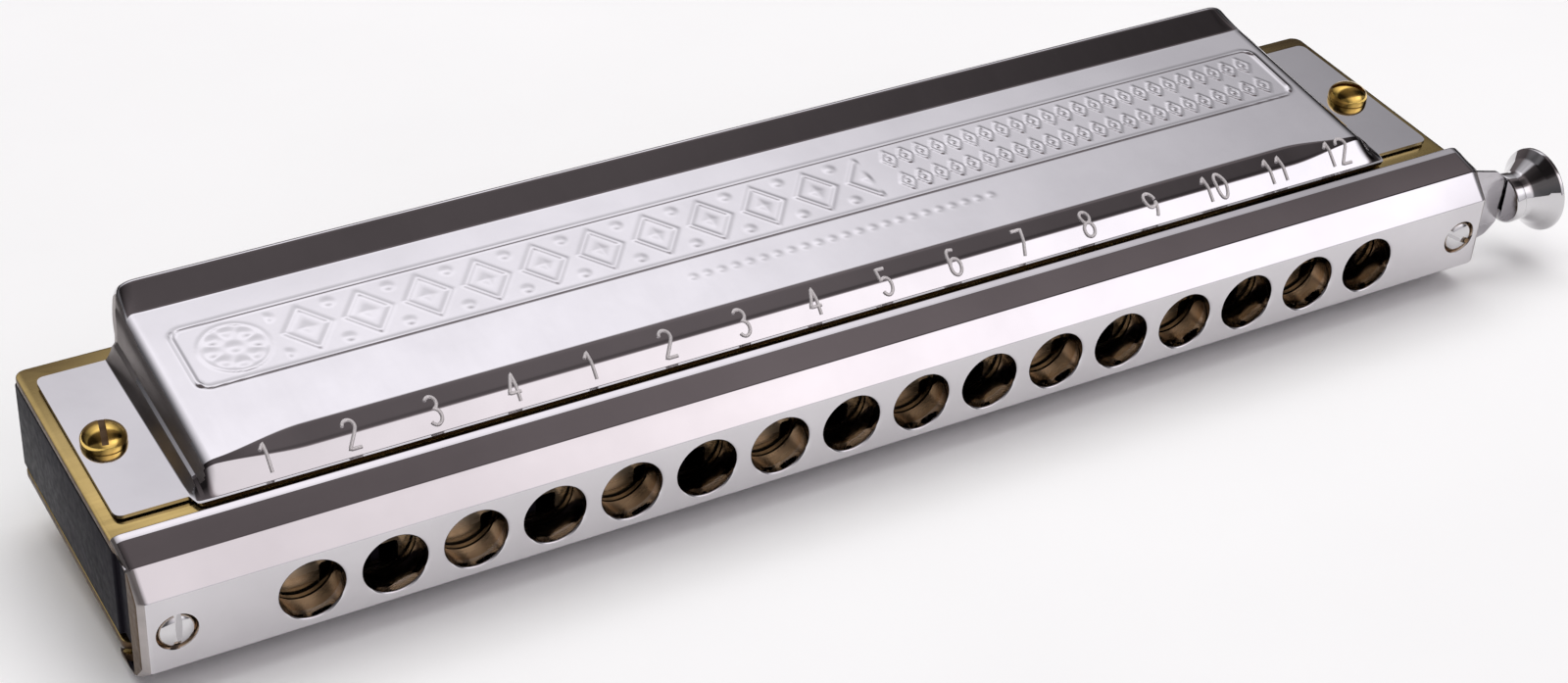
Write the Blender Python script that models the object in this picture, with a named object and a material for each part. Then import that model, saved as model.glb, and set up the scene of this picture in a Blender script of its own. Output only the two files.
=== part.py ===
"""Sixteen-hole chromatic harmonica with a sprung slide, as it lies on its lower cover.

The pieces are modelled in the instrument's own frame: X runs along the row of holes towards the
button, Y runs from the mouthpiece to the open back, Z runs up from the comb's middle plane, and
the origin is the middle of the mouthpiece's front face. The instrument frame is then tipped and
set down, so that the lower cover's two long ridges lie on the ground plane.
"""
import math

import bmesh
import bpy
from mathutils import Vector

MM = 0.001

# Clearances
SEAT_GAP = 0.3 * MM
SHANK_GAP = 0.3 * MM

# Row of holes
HOLE_COUNT = 16
HOLE_PITCH = 9.6 * MM
HOLE_RADIUS = 3.8 * MM
HOLE_RIM = 0.35 * MM
END_MARGIN = 19.2 * MM

# Mouthpiece
MOUTHPIECE_WALL = 3.4 * MM
FACE_HALF_HEIGHT = 4.84 * MM
CHAMFER_RUN = 3.0 * MM
CHAMFER_RISE = 2.76 * MM
BROW_RUN = 3.5 * MM
BROW_RISE = 0.95 * MM
LIP_DEPTH = 7.3 * MM
LIP_EDGE_DROP = 0.45 * MM
LIP_THICKNESS = 1.15 * MM
END_ROUNDING = 1.0 * MM
END_ROUNDING_STEPS = 3

# Slide assembly
CAGE_THICKNESS = 0.5 * MM
BACK_PLATE_THICKNESS = 0.6 * MM
SLIDE_THICKNESS = 0.5 * MM
CAGE_END_INSET = 0.9 * MM
SLIDE_TRAVEL = 4.5 * MM
WINDOW_WIDTH = 4.2 * MM
WINDOW_HEIGHT = 3.3 * MM
WINDOW_LIFT = 0.55 * MM
SLIDE_LEFT_INSET = 6.4 * MM
TAB_REACH = 7.0 * MM
TAB_END_HALF_HEIGHT = 4.9 * MM
TONGUE_LENGTH = 2.6 * MM
TONGUE_HALF_HEIGHT = 1.3 * MM

# Button
BUTTON_LENGTH = 6.7 * MM
BUTTON_NECK_RADIUS = 3.3 * MM
BUTTON_WAIST_RADIUS = 3.1 * MM
BUTTON_RIM_RADIUS = 5.7 * MM
BUTTON_COLLAR_LENGTH = 1.5 * MM
BUTTON_RIM_LENGTH = 0.6 * MM
BUTTON_DOME = 0.5 * MM

# Comb and reed plates
COMB_END_INSET = 0.2 * MM
COMB_HALF_THICKNESS = 5.8 * MM
COMB_DEPTH = 35.2 * MM
COMB_SHOULDER_DEPTH = 2.2 * MM
COMB_SHOULDER_INSET = 0.6 * MM
CHAMBER_WIDTH = 3.7 * MM
CHAMBER_SPACING = 4.7 * MM
CHAMBER_END_GAP = 1.2 * MM
REED_PLATE_THICKNESS = 1.0 * MM
REED_PLATE_FRONT_STEP = 0.8 * MM
REED_PLATE_CORNER = 1.2 * MM

# Reeds
REED_FRONT_INSET = 7.8 * MM
LONGEST_REED = 21.0 * MM
SHORTEST_REED = 9.0 * MM
REED_WIDTH = 2.0 * MM
REED_SLOT_SIDE_GAP = 0.2 * MM
REED_SLOT_END_GAP = 0.6 * MM
REED_TONGUE_THICKNESS = 0.25 * MM
REED_PAD_THICKNESS = 0.5 * MM
REED_PAD_LENGTH = 3.2 * MM
REED_PAD_WIDTH = 3.0 * MM
REED_PAD_SETBACK = 0.3 * MM
PAD_ROOT = 0.05 * MM

# Covers
COVER_THICKNESS = 0.45 * MM
COVER_FOOT_Y = 9.3 * MM
COVER_FOOT_WIDTH = 0.7 * MM
RISE_RUN = 2.0 * MM
RISE_HEIGHT = 1.9 * MM
SHOULDER_RUN = 2.6 * MM
SHOULDER_HEIGHT = 0.85 * MM
PLATEAU_RUN = 24.3 * MM
PLATEAU_HEIGHT = 2.05 * MM
CREST_RUN = 5.55 * MM
CREST_SLOPE = math.radians(24.0)
SKIRT_DROP = 4.9 * MM
FOOT_FILLET = 0.35 * MM
RISE_ROUNDING = 1.6 * MM
SHOULDER_ROUNDING = 3.0 * MM
CREASE_FILLET = 1.0 * MM
CREST_ROUNDING = 1.7 * MM
FLANGE_END_INSET = 1.6 * MM
FLANGE_WIDTH = 7.6 * MM
FLANGE_FRONT_Y = 11.4 * MM
FLANGE_REAR_Y = 38.2 * MM
END_WALL_RUN = 3.4 * MM
END_WALL_FILLET = 0.8 * MM
END_WALL_ROUNDING = 1.0 * MM
ARC_STEPS = 3

# Fasteners
MOUTHPIECE_SCREW_INSET = 4.0 * MM
MOUTHPIECE_SCREW_RADIUS = 0.9 * MM
MOUTHPIECE_SCREW_HEAD_RADIUS = 2.3 * MM
MOUTHPIECE_SCREW_HEAD_DEPTH = 1.2 * MM
MOUTHPIECE_SCREW_DOME = 0.45 * MM
MOUTHPIECE_SCREW_LENGTH = 14.0 * MM
BUMPER_WALL = 0.5 * MM
COVER_BOLT_INSET = 4.8 * MM
COVER_BOLT_SETBACK = 18.0 * MM
COVER_BOLT_RADIUS = 1.0 * MM
COVER_BOLT_HEAD_RADIUS = 2.6 * MM
COVER_BOLT_HEAD_HEIGHT = 1.3 * MM
NUT_HEIGHT = 1.6 * MM
NUT_RADIUS = 2.5 * MM
BOLT_END_STICKOUT = 0.25 * MM
DRIVER_SLOT_WIDTH = 0.6 * MM
DRIVER_SLOT_DEPTH = 0.6 * MM
PLATE_SCREW_RADIUS = 0.5 * MM
PLATE_SCREW_HEAD_RADIUS = 1.1 * MM
PLATE_SCREW_HEAD_HEIGHT = 0.5 * MM
PLATE_SCREW_LENGTH = 3.4 * MM
PLATE_SCREW_REAR_INSET = 1.6 * MM
PLATE_SCREWS_PER_PLATE = 4

# Slide spring, a hairpin of round wire in a pocket of the comb's left end
SPRING_WIRE_RADIUS = 0.35 * MM
SPRING_POCKET_SCREW_WEB = 2.2 * MM
SPRING_POCKET_CHAMBER_WEB = 1.2 * MM
SPRING_POCKET_DEPTH = 3.0 * MM
SPRING_POCKET_RIM = 0.8 * MM
SPRING_POCKET_EDGE_GAP = 0.5 * MM
SPRING_TIP_Z = 3.6 * MM
SPRING_ANCHOR_Z = -3.8 * MM
SPRING_ANCHOR_DEPTH = 5.0 * MM

# Facets
HOLE_SIDES = 16
SMALL_HOLE_SIDES = 12
TURNED_SIDES = 24
BOLT_SIDES = 16

# Places that follow from the sizes above
MOUTHPIECE_LENGTH = (HOLE_COUNT - 1) * HOLE_PITCH + 2 * END_MARGIN
COMB_LENGTH = MOUTHPIECE_LENGTH - 2 * COMB_END_INSET
MOUTHPIECE_SCREW_X = MOUTHPIECE_LENGTH / 2 - MOUTHPIECE_SCREW_INSET
COVER_BOLT_X = COMB_LENGTH / 2 - COVER_BOLT_INSET
CHANNEL_HALF_HEIGHT = FACE_HALF_HEIGHT + CHAMFER_RISE + BROW_RISE - LIP_THICKNESS
CAGE_HALF_HEIGHT = CHANNEL_HALF_HEIGHT - SEAT_GAP
CAGE_HALF_LENGTH = MOUTHPIECE_LENGTH / 2 - CAGE_END_INSET
CAGE_FRONT_Y = MOUTHPIECE_WALL + SEAT_GAP
SLIDE_FRONT_Y = CAGE_FRONT_Y + CAGE_THICKNESS + SEAT_GAP
SLIDE_BACK_Y = SLIDE_FRONT_Y + SLIDE_THICKNESS
SLIDE_MIDDLE_Y = (SLIDE_FRONT_Y + SLIDE_BACK_Y) / 2
SLIDE_HALF_HEIGHT = CAGE_HALF_HEIGHT - CAGE_THICKNESS - SEAT_GAP
BACK_PLATE_FRONT_Y = SLIDE_BACK_Y + SEAT_GAP
BACK_PLATE_BACK_Y = BACK_PLATE_FRONT_Y + BACK_PLATE_THICKNESS
COMB_FRONT_Y = BACK_PLATE_BACK_Y + SEAT_GAP
COMB_BACK_Y = COMB_FRONT_Y + COMB_DEPTH
COVER_BOLT_Y = COMB_FRONT_Y + COVER_BOLT_SETBACK
TAB_END_X = MOUTHPIECE_LENGTH / 2 + TAB_REACH
BUTTON_START_X = TAB_END_X + SEAT_GAP
BUMPER_INNER_RADIUS = MOUTHPIECE_SCREW_RADIUS + SHANK_GAP
BUMPER_OUTER_RADIUS = BUMPER_INNER_RADIUS + BUMPER_WALL
SLIDE_SLOT_REACH = BUMPER_OUTER_RADIUS + SEAT_GAP
PLATE_INNER_Z = COMB_HALF_THICKNESS + SEAT_GAP
PLATE_OUTER_Z = PLATE_INNER_Z + REED_PLATE_THICKNESS
PLATE_FRONT_Y = COMB_FRONT_Y + REED_PLATE_FRONT_STEP
FLANGE_INNER_Z = PLATE_OUTER_Z + SEAT_GAP
FLANGE_OUTER_Z = FLANGE_INNER_Z + COVER_THICKNESS
BOLT_SEAT_Z = FLANGE_OUTER_Z + SEAT_GAP
REED_SLOT_START_Y = COMB_FRONT_Y + REED_FRONT_INSET
REED_PLATE_SCREW_Y = COMB_BACK_Y - PLATE_SCREW_REAR_INSET
FIRST_CHAMBER_X = -((HOLE_COUNT - 1) * HOLE_PITCH + CHAMBER_SPACING + CHAMBER_WIDTH) / 2
SPRING_POCKET_LEFT_X = -MOUTHPIECE_SCREW_X + BUMPER_INNER_RADIUS + SPRING_POCKET_SCREW_WEB
SPRING_POCKET_RIGHT_X = FIRST_CHAMBER_X - SPRING_POCKET_CHAMBER_WEB
SPRING_POCKET_HALF_HEIGHT = COMB_HALF_THICKNESS - SPRING_POCKET_RIM
SPRING_TIP_X = SPRING_POCKET_RIGHT_X - SPRING_WIRE_RADIUS - SPRING_POCKET_EDGE_GAP
SPRING_BEND_X = SPRING_POCKET_LEFT_X + SPRING_WIRE_RADIUS + SPRING_POCKET_EDGE_GAP

# Colours, roughness and metallic value of each material
FINISHES = {
    "chrome": ((0.80, 0.80, 0.82), 0.07, 1.0),
    "brass": ((0.78, 0.58, 0.24), 0.24, 1.0),
    "slide_steel": ((0.62, 0.55, 0.46), 0.22, 1.0),
    "black_plastic": ((0.018, 0.018, 0.022), 0.38, 0.0),
    "spring_steel": ((0.45, 0.45, 0.47), 0.30, 1.0),
    "rubber": ((0.03, 0.03, 0.03), 0.80, 0.0),
}


def hole_x(index):
    """Centre of a hole along the row, counted from the left."""
    return (index - (HOLE_COUNT - 1) / 2) * HOLE_PITCH


def reed_length(index):
    """Reeds shorten evenly from the lowest hole to the highest."""
    share = index / max(HOLE_COUNT - 1, 1)
    return LONGEST_REED + (SHORTEST_REED - LONGEST_REED) * share


def reed_slot_end_y(index):
    return REED_SLOT_START_Y + reed_length(index) + REED_SLOT_END_GAP


def rounded_path(corners, steps):
    """Points along a polyline whose corners (x, y, radius) are replaced by arcs."""
    points = []
    for place, (x, y, radius) in enumerate(corners):
        corner = Vector((x, y))
        if radius == 0 or place in (0, len(corners) - 1):
            points.append(corner)
            continue
        before = (Vector(corners[place - 1][:2]) - corner).normalized()
        after = (Vector(corners[place + 1][:2]) - corner).normalized()
        half_angle = before.angle(after) / 2
        centre = corner + (before + after).normalized() * radius / math.sin(half_angle)
        start = corner + before * radius / math.tan(half_angle) - centre
        turn = start.angle_signed(corner + after * radius / math.tan(half_angle) - centre)
        for step in range(steps + 1):
            angle = -turn * step / steps
            points.append(centre + Vector((
                start.x * math.cos(angle) - start.y * math.sin(angle),
                start.x * math.sin(angle) + start.y * math.cos(angle),
            )))
    return points


def make_material(name):
    colour, roughness, metallic = FINISHES[name]
    material = bpy.data.materials.new(name)
    material.use_nodes = True
    shader = material.node_tree.nodes["Principled BSDF"]
    shader.inputs["Base Color"].default_value = (*colour, 1.0)
    shader.inputs["Roughness"].default_value = roughness
    shader.inputs["Metallic"].default_value = metallic
    material.diffuse_color = (*colour, 1.0)
    return material


def add_object(name, shape, material=None, parent=None, smooth_degrees=None):
    """Turns a bmesh into a named object under its frame."""
    mesh = bpy.data.meshes.new(name)
    bmesh.ops.recalc_face_normals(shape, faces=shape.faces)
    shape.to_mesh(mesh)
    shape.free()
    if smooth_degrees:
        mesh.shade_smooth()
        mesh.set_sharp_from_angle(angle=math.radians(smooth_degrees))
    item = bpy.data.objects.new(name, mesh)
    bpy.context.scene.collection.objects.link(item)
    item.parent = parent
    if material:
        mesh.materials.append(material)
    return item


def boolean(item, shape, label, operation="DIFFERENCE"):
    """Cuts or joins a bmesh with an object through a hidden helper."""
    helper = add_object(item.name + "_" + label, shape, parent=item.parent)
    helper.location = item.location
    helper.hide_render = True
    helper.display_type = "WIRE"
    modifier = item.modifiers.new(label, "BOOLEAN")
    modifier.operation = operation
    modifier.solver = "EXACT"
    modifier.object = helper


def add_box(shape, x_range, y_range, z_range):
    corners = [shape.verts.new((x, y, z)) for x in x_range for y in y_range for z in z_range]
    for face in ((0, 1, 3, 2), (4, 6, 7, 5), (0, 4, 5, 1), (2, 3, 7, 6), (0, 2, 6, 4), (1, 5, 7, 3)):
        shape.faces.new([corners[corner] for corner in face])


def add_prism(shape, outline, axis, start, end):
    """A straight prism: the outline's two numbers fill the two axes other than the given one."""
    rings = []
    for level in (start, end):
        ring = []
        for first, second in outline:
            place = {"X": (level, first, second), "Y": (first, level, second), "Z": (first, second, level)}
            ring.append(shape.verts.new(place[axis]))
        rings.append(ring)
    count = len(outline)
    for corner in range(count):
        following = (corner + 1) % count
        shape.faces.new((rings[0][corner], rings[0][following], rings[1][following], rings[1][corner]))
    shape.faces.new(reversed(rings[0]))
    shape.faces.new(rings[1])


def add_turned(shape, profile, axis, centre, sides):
    """A turned solid: the profile holds (distance along the axis, radius) from end to end."""
    rings = []
    for along, radius in profile:
        count = 1 if radius == 0 else sides
        ring = []
        for side in range(count):
            angle = 2 * math.pi * side / sides
            across = (radius * math.cos(angle), radius * math.sin(angle))
            place = {
                "X": (along, centre[0] + across[0], centre[1] + across[1]),
                "Y": (centre[0] + across[0], along, centre[1] + across[1]),
                "Z": (centre[0] + across[0], centre[1] + across[1], along),
            }
            ring.append(shape.verts.new(place[axis]))
        rings.append(ring)
    for ring, following in zip(rings, rings[1:]):
        for side in range(sides):
            other = (side + 1) % sides
            corners = [ring[side % len(ring)], ring[other % len(ring)]]
            corners += [following[other % len(following)], following[side % len(following)]]
            shape.faces.new(list(dict.fromkeys(corners)))
    for ring in (rings[0], rings[-1]):
        if len(ring) > 1:
            shape.faces.new(ring)


def add_round_holes(shape, places, radius, start, end, axis, sides):
    for place in places:
        add_turned(shape, ((start, radius), (end, radius)), axis, place, sides)


def mouthpiece_outline():
    """Section of the mouthpiece: (y, z) round a C that opens to the back."""
    brow_z = FACE_HALF_HEIGHT + CHAMFER_RISE
    upper = [
        (0.0, FACE_HALF_HEIGHT),
        (CHAMFER_RUN, brow_z),
        (CHAMFER_RUN + BROW_RUN, brow_z + BROW_RISE),
        (LIP_DEPTH, brow_z + BROW_RISE - LIP_EDGE_DROP),
        (LIP_DEPTH, CHANNEL_HALF_HEIGHT),
        (MOUTHPIECE_WALL, CHANNEL_HALF_HEIGHT),
    ]
    return upper + [(y, -z) for y, z in reversed(upper)]


def mouthpiece_stations():
    """Places along X with how far the front is drawn back there, for the rounded ends."""
    half = MOUTHPIECE_LENGTH / 2
    stations = []
    for step in range(END_ROUNDING_STEPS + 1):
        angle = math.pi / 2 * step / END_ROUNDING_STEPS
        along = half - END_ROUNDING * (1 - math.sin(angle))
        stations.append((along, END_ROUNDING * (1 - math.cos(angle))))
    return [(-x, inset) for x, inset in reversed(stations)] + stations


def build_mouthpiece(frame, material):
    shape = bmesh.new()
    outline = mouthpiece_outline()
    rings = []
    for x, inset in mouthpiece_stations():
        ring = []
        for y, z in outline:
            drawn_in = inset * max(0.0, 1 - y / MOUTHPIECE_WALL)
            ring.append(shape.verts.new((x, y + drawn_in, z)))
        rings.append(ring)
    count = len(outline)
    for ring, following in zip(rings, rings[1:]):
        for corner in range(count):
            other = (corner + 1) % count
            shape.faces.new((ring[corner], ring[other], following[other], following[corner]))
    shape.faces.new(rings[0])
    shape.faces.new(rings[-1])
    mouthpiece = add_object("mouthpiece", shape, material, frame)
    cutter = bmesh.new()
    past = HOLE_RIM
    for index in range(HOLE_COUNT):
        profile = (
            (-past, HOLE_RADIUS + HOLE_RIM + past),
            (HOLE_RIM, HOLE_RADIUS),
            (MOUTHPIECE_WALL + past, HOLE_RADIUS),
        )
        add_turned(cutter, profile, "Y", (hole_x(index), 0.0), HOLE_SIDES)
    sink_radius = MOUTHPIECE_SCREW_HEAD_RADIUS + SHANK_GAP
    shank_hole = MOUTHPIECE_SCREW_RADIUS + SHANK_GAP
    for x in (-MOUTHPIECE_SCREW_X, MOUTHPIECE_SCREW_X):
        profile = (
            (-past, sink_radius),
            (0.0, sink_radius),
            (MOUTHPIECE_SCREW_HEAD_DEPTH + SEAT_GAP, shank_hole),
            (MOUTHPIECE_WALL + past, shank_hole),
        )
        add_turned(cutter, profile, "Y", (x, 0.0), HOLE_SIDES)
    boolean(mouthpiece, cutter, "holes")


def build_cage_plate(frame, material):
    """Front plate of the slide's cage, with folded edges that guide the slide."""
    shape = bmesh.new()
    fold_y = SLIDE_BACK_Y
    inner_z = CAGE_HALF_HEIGHT - CAGE_THICKNESS
    back_y = CAGE_FRONT_Y + CAGE_THICKNESS
    outline = [
        (CAGE_FRONT_Y, -CAGE_HALF_HEIGHT),
        (CAGE_FRONT_Y, CAGE_HALF_HEIGHT),
        (fold_y, CAGE_HALF_HEIGHT),
        (fold_y, inner_z),
        (back_y, inner_z),
        (back_y, -inner_z),
        (fold_y, -inner_z),
        (fold_y, -CAGE_HALF_HEIGHT),
    ]
    add_prism(shape, outline, "X", -CAGE_HALF_LENGTH, CAGE_HALF_LENGTH)
    plate = add_object("slide_cage_front_plate", shape, material, frame)
    cutter = bmesh.new()
    start, end = CAGE_FRONT_Y - SEAT_GAP, back_y + SEAT_GAP
    holes = [(hole_x(index), 0.0) for index in range(HOLE_COUNT)]
    add_round_holes(cutter, holes, HOLE_RADIUS, start, end, "Y", HOLE_SIDES)
    screws = [(-MOUTHPIECE_SCREW_X, 0.0), (MOUTHPIECE_SCREW_X, 0.0)]
    shank_hole = MOUTHPIECE_SCREW_RADIUS + SHANK_GAP
    add_round_holes(cutter, screws, shank_hole, start, end, "Y", SMALL_HOLE_SIDES)
    boolean(plate, cutter, "holes")


def add_window(shape, x, row, y_range):
    low = row * WINDOW_LIFT
    high = row * (WINDOW_LIFT + WINDOW_HEIGHT)
    add_box(shape, (x - WINDOW_WIDTH / 2, x + WINDOW_WIDTH / 2), y_range, sorted((low, high)))


def spring_tip_range():
    """Where the spring's tip lies along X, from slide pressed in to slide at rest."""
    return SPRING_TIP_X - SLIDE_TRAVEL, SPRING_TIP_X


def build_back_plate(frame, material):
    """Fixed plate behind the slide, with an upper and a lower window for each hole."""
    shape = bmesh.new()
    y_range = (BACK_PLATE_FRONT_Y, BACK_PLATE_BACK_Y)
    x_range = (-CAGE_HALF_LENGTH, CAGE_HALF_LENGTH)
    add_box(shape, x_range, y_range, (-CAGE_HALF_HEIGHT, CAGE_HALF_HEIGHT))
    plate = add_object("slide_back_plate", shape, material, frame)
    cutter = bmesh.new()
    through = (BACK_PLATE_FRONT_Y - SEAT_GAP, BACK_PLATE_BACK_Y + SEAT_GAP)
    for index in range(HOLE_COUNT):
        for row in (-1, 1):
            add_window(cutter, hole_x(index), row, through)
    screws = [(-MOUTHPIECE_SCREW_X, 0.0), (MOUTHPIECE_SCREW_X, 0.0)]
    shank_hole = MOUTHPIECE_SCREW_RADIUS + SHANK_GAP
    add_round_holes(cutter, screws, shank_hole, *through, "Y", SMALL_HOLE_SIDES)
    pressed_x, rest_x = spring_tip_range()
    margin = SPRING_WIRE_RADIUS + SHANK_GAP
    tip_z = (SPRING_TIP_Z - margin, SPRING_TIP_Z + margin)
    add_box(cutter, (pressed_x - margin, rest_x + margin), through, tip_z)
    boolean(plate, cutter, "windows")


def build_slide(frame, material):
    """The slide: at rest odd holes open the upper row, even holes the lower row."""
    shape = bmesh.new()
    body_end = MOUTHPIECE_LENGTH / 2
    left_end = -MOUTHPIECE_LENGTH / 2 + SLIDE_LEFT_INSET
    half = [
        (left_end, SLIDE_HALF_HEIGHT),
        (body_end, SLIDE_HALF_HEIGHT),
        (TAB_END_X, TAB_END_HALF_HEIGHT),
        (TAB_END_X, TONGUE_HALF_HEIGHT),
        (TAB_END_X + TONGUE_LENGTH, TONGUE_HALF_HEIGHT),
    ]
    outline = half + [(x, -z) for x, z in reversed(half)]
    add_prism(shape, outline, "Y", SLIDE_FRONT_Y, SLIDE_BACK_Y)
    slide = add_object("slide", shape, material, frame)
    cutter = bmesh.new()
    through = (SLIDE_FRONT_Y - SEAT_GAP, SLIDE_BACK_Y + SEAT_GAP)
    for index in range(HOLE_COUNT):
        row_at_rest = 1 if index % 2 == 0 else -1
        add_window(cutter, hole_x(index), row_at_rest, through)
        add_window(cutter, hole_x(index) + SLIDE_TRAVEL, -row_at_rest, through)
    slot_z = (-SLIDE_SLOT_REACH, SLIDE_SLOT_REACH)
    right_slot = (
        MOUTHPIECE_SCREW_X - SLIDE_SLOT_REACH,
        MOUTHPIECE_SCREW_X + SLIDE_SLOT_REACH + SLIDE_TRAVEL,
    )
    left_fork = (
        left_end - SEAT_GAP,
        -MOUTHPIECE_SCREW_X + SLIDE_SLOT_REACH + SLIDE_TRAVEL,
    )
    add_box(cutter, right_slot, through, slot_z)
    add_box(cutter, left_fork, through, slot_z)
    tip_hole = SPRING_WIRE_RADIUS + SHANK_GAP
    add_round_holes(cutter, [(SPRING_TIP_X, SPRING_TIP_Z)], tip_hole, *through, "Y", SMALL_HOLE_SIDES)
    boolean(slide, cutter, "windows")


def build_button(frame, material):
    """Trumpet-shaped push button, slotted to take the slide's tongue."""
    shape = bmesh.new()
    collar_end = BUTTON_START_X + BUTTON_COLLAR_LENGTH
    rim_end = BUTTON_START_X + BUTTON_LENGTH - BUTTON_DOME
    rim_start = rim_end - BUTTON_RIM_LENGTH
    flare = []
    flare_steps = 6
    for step in range(flare_steps + 1):
        share = step / flare_steps
        swell = share ** 1.6
        radius = BUTTON_WAIST_RADIUS + (BUTTON_RIM_RADIUS - BUTTON_WAIST_RADIUS) * swell
        flare.append((collar_end + (rim_start - collar_end) * share, radius))
    profile = [(BUTTON_START_X, BUTTON_NECK_RADIUS), (collar_end, BUTTON_NECK_RADIUS)]
    profile += flare
    profile += [(rim_end, BUTTON_RIM_RADIUS)]
    profile += [(rim_end + BUTTON_DOME * 0.6, BUTTON_RIM_RADIUS * 0.7)]
    profile += [(rim_end + BUTTON_DOME, 0.0)]
    add_turned(shape, profile, "X", (SLIDE_MIDDLE_Y, 0.0), TURNED_SIDES)
    button = add_object("slide_button", shape, material, frame, smooth_degrees=35)
    cutter = bmesh.new()
    reach = TAB_END_X + TONGUE_LENGTH + SEAT_GAP
    y_range = (SLIDE_FRONT_Y - SEAT_GAP, SLIDE_BACK_Y + SEAT_GAP)
    half_height = TONGUE_HALF_HEIGHT + SEAT_GAP
    add_box(cutter, (TAB_END_X, reach), y_range, (-half_height, half_height))
    boolean(button, cutter, "tongue_slot")


def build_bumpers(frame, material):
    """Rubber sleeves on the mouthpiece screws, which stop and quieten the slide."""
    for name, x in (("left", -MOUTHPIECE_SCREW_X), ("right", MOUTHPIECE_SCREW_X)):
        shape = bmesh.new()
        span = ((SLIDE_FRONT_Y, BUMPER_OUTER_RADIUS), (SLIDE_BACK_Y, BUMPER_OUTER_RADIUS))
        add_turned(shape, span, "Y", (x, 0.0), BOLT_SIDES)
        bumper = add_object("slide_bumper_" + name, shape, material, frame, smooth_degrees=35)
        cutter = bmesh.new()
        through = (SLIDE_FRONT_Y - SEAT_GAP, SLIDE_BACK_Y + SEAT_GAP)
        add_round_holes(cutter, [(x, 0.0)], BUMPER_INNER_RADIUS, *through, "Y", BOLT_SIDES)
        boolean(bumper, cutter, "bore")


def build_spring(frame, material):
    """Hairpin of wire: anchored low in the comb, bent at the left, its tip in the slide."""
    middle_y = COMB_FRONT_Y + SPRING_POCKET_DEPTH / 2
    bend_z = (SPRING_TIP_Z + SPRING_ANCHOR_Z) / 2
    turn = 3 * SPRING_WIRE_RADIUS
    route = [
        (SPRING_TIP_X, middle_y + SPRING_ANCHOR_DEPTH, SPRING_ANCHOR_Z),
        (SPRING_TIP_X, middle_y + turn, SPRING_ANCHOR_Z),
        (SPRING_TIP_X - turn, middle_y, SPRING_ANCHOR_Z + turn / 2),
        (SPRING_BEND_X + turn, middle_y, bend_z - turn),
        (SPRING_BEND_X, middle_y, bend_z),
        (SPRING_BEND_X + turn, middle_y, bend_z + turn),
        (SPRING_TIP_X - turn, middle_y, SPRING_TIP_Z - turn / 2),
        (SPRING_TIP_X, middle_y - turn, SPRING_TIP_Z),
        (SPRING_TIP_X, SLIDE_FRONT_Y, SPRING_TIP_Z),
    ]
    curve = bpy.data.curves.new("slide_spring", "CURVE")
    curve.dimensions = "3D"
    curve.bevel_depth = SPRING_WIRE_RADIUS
    curve.bevel_resolution = 1
    curve.use_fill_caps = True
    spline = curve.splines.new("POLY")
    spline.points.add(len(route) - 1)
    for point, place in zip(spline.points, route):
        point.co = (*place, 1.0)
    curve.materials.append(material)
    spring = bpy.data.objects.new("slide_spring", curve)
    bpy.context.scene.collection.objects.link(spring)
    spring.parent = frame


def comb_outline():
    """Plan of the comb: narrower over its front shoulder."""
    half = COMB_LENGTH / 2
    shoulder_y = COMB_FRONT_Y + COMB_SHOULDER_DEPTH
    right = [
        (half - COMB_SHOULDER_INSET, COMB_FRONT_Y),
        (half - COMB_SHOULDER_INSET, shoulder_y),
        (half, shoulder_y),
        (half, COMB_BACK_Y),
    ]
    return right + [(-x, y) for x, y in reversed(right)]


def chamber_centres(index):
    """The two chambers of one hole, side by side."""
    return hole_x(index) - CHAMBER_SPACING / 2, hole_x(index) + CHAMBER_SPACING / 2


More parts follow.
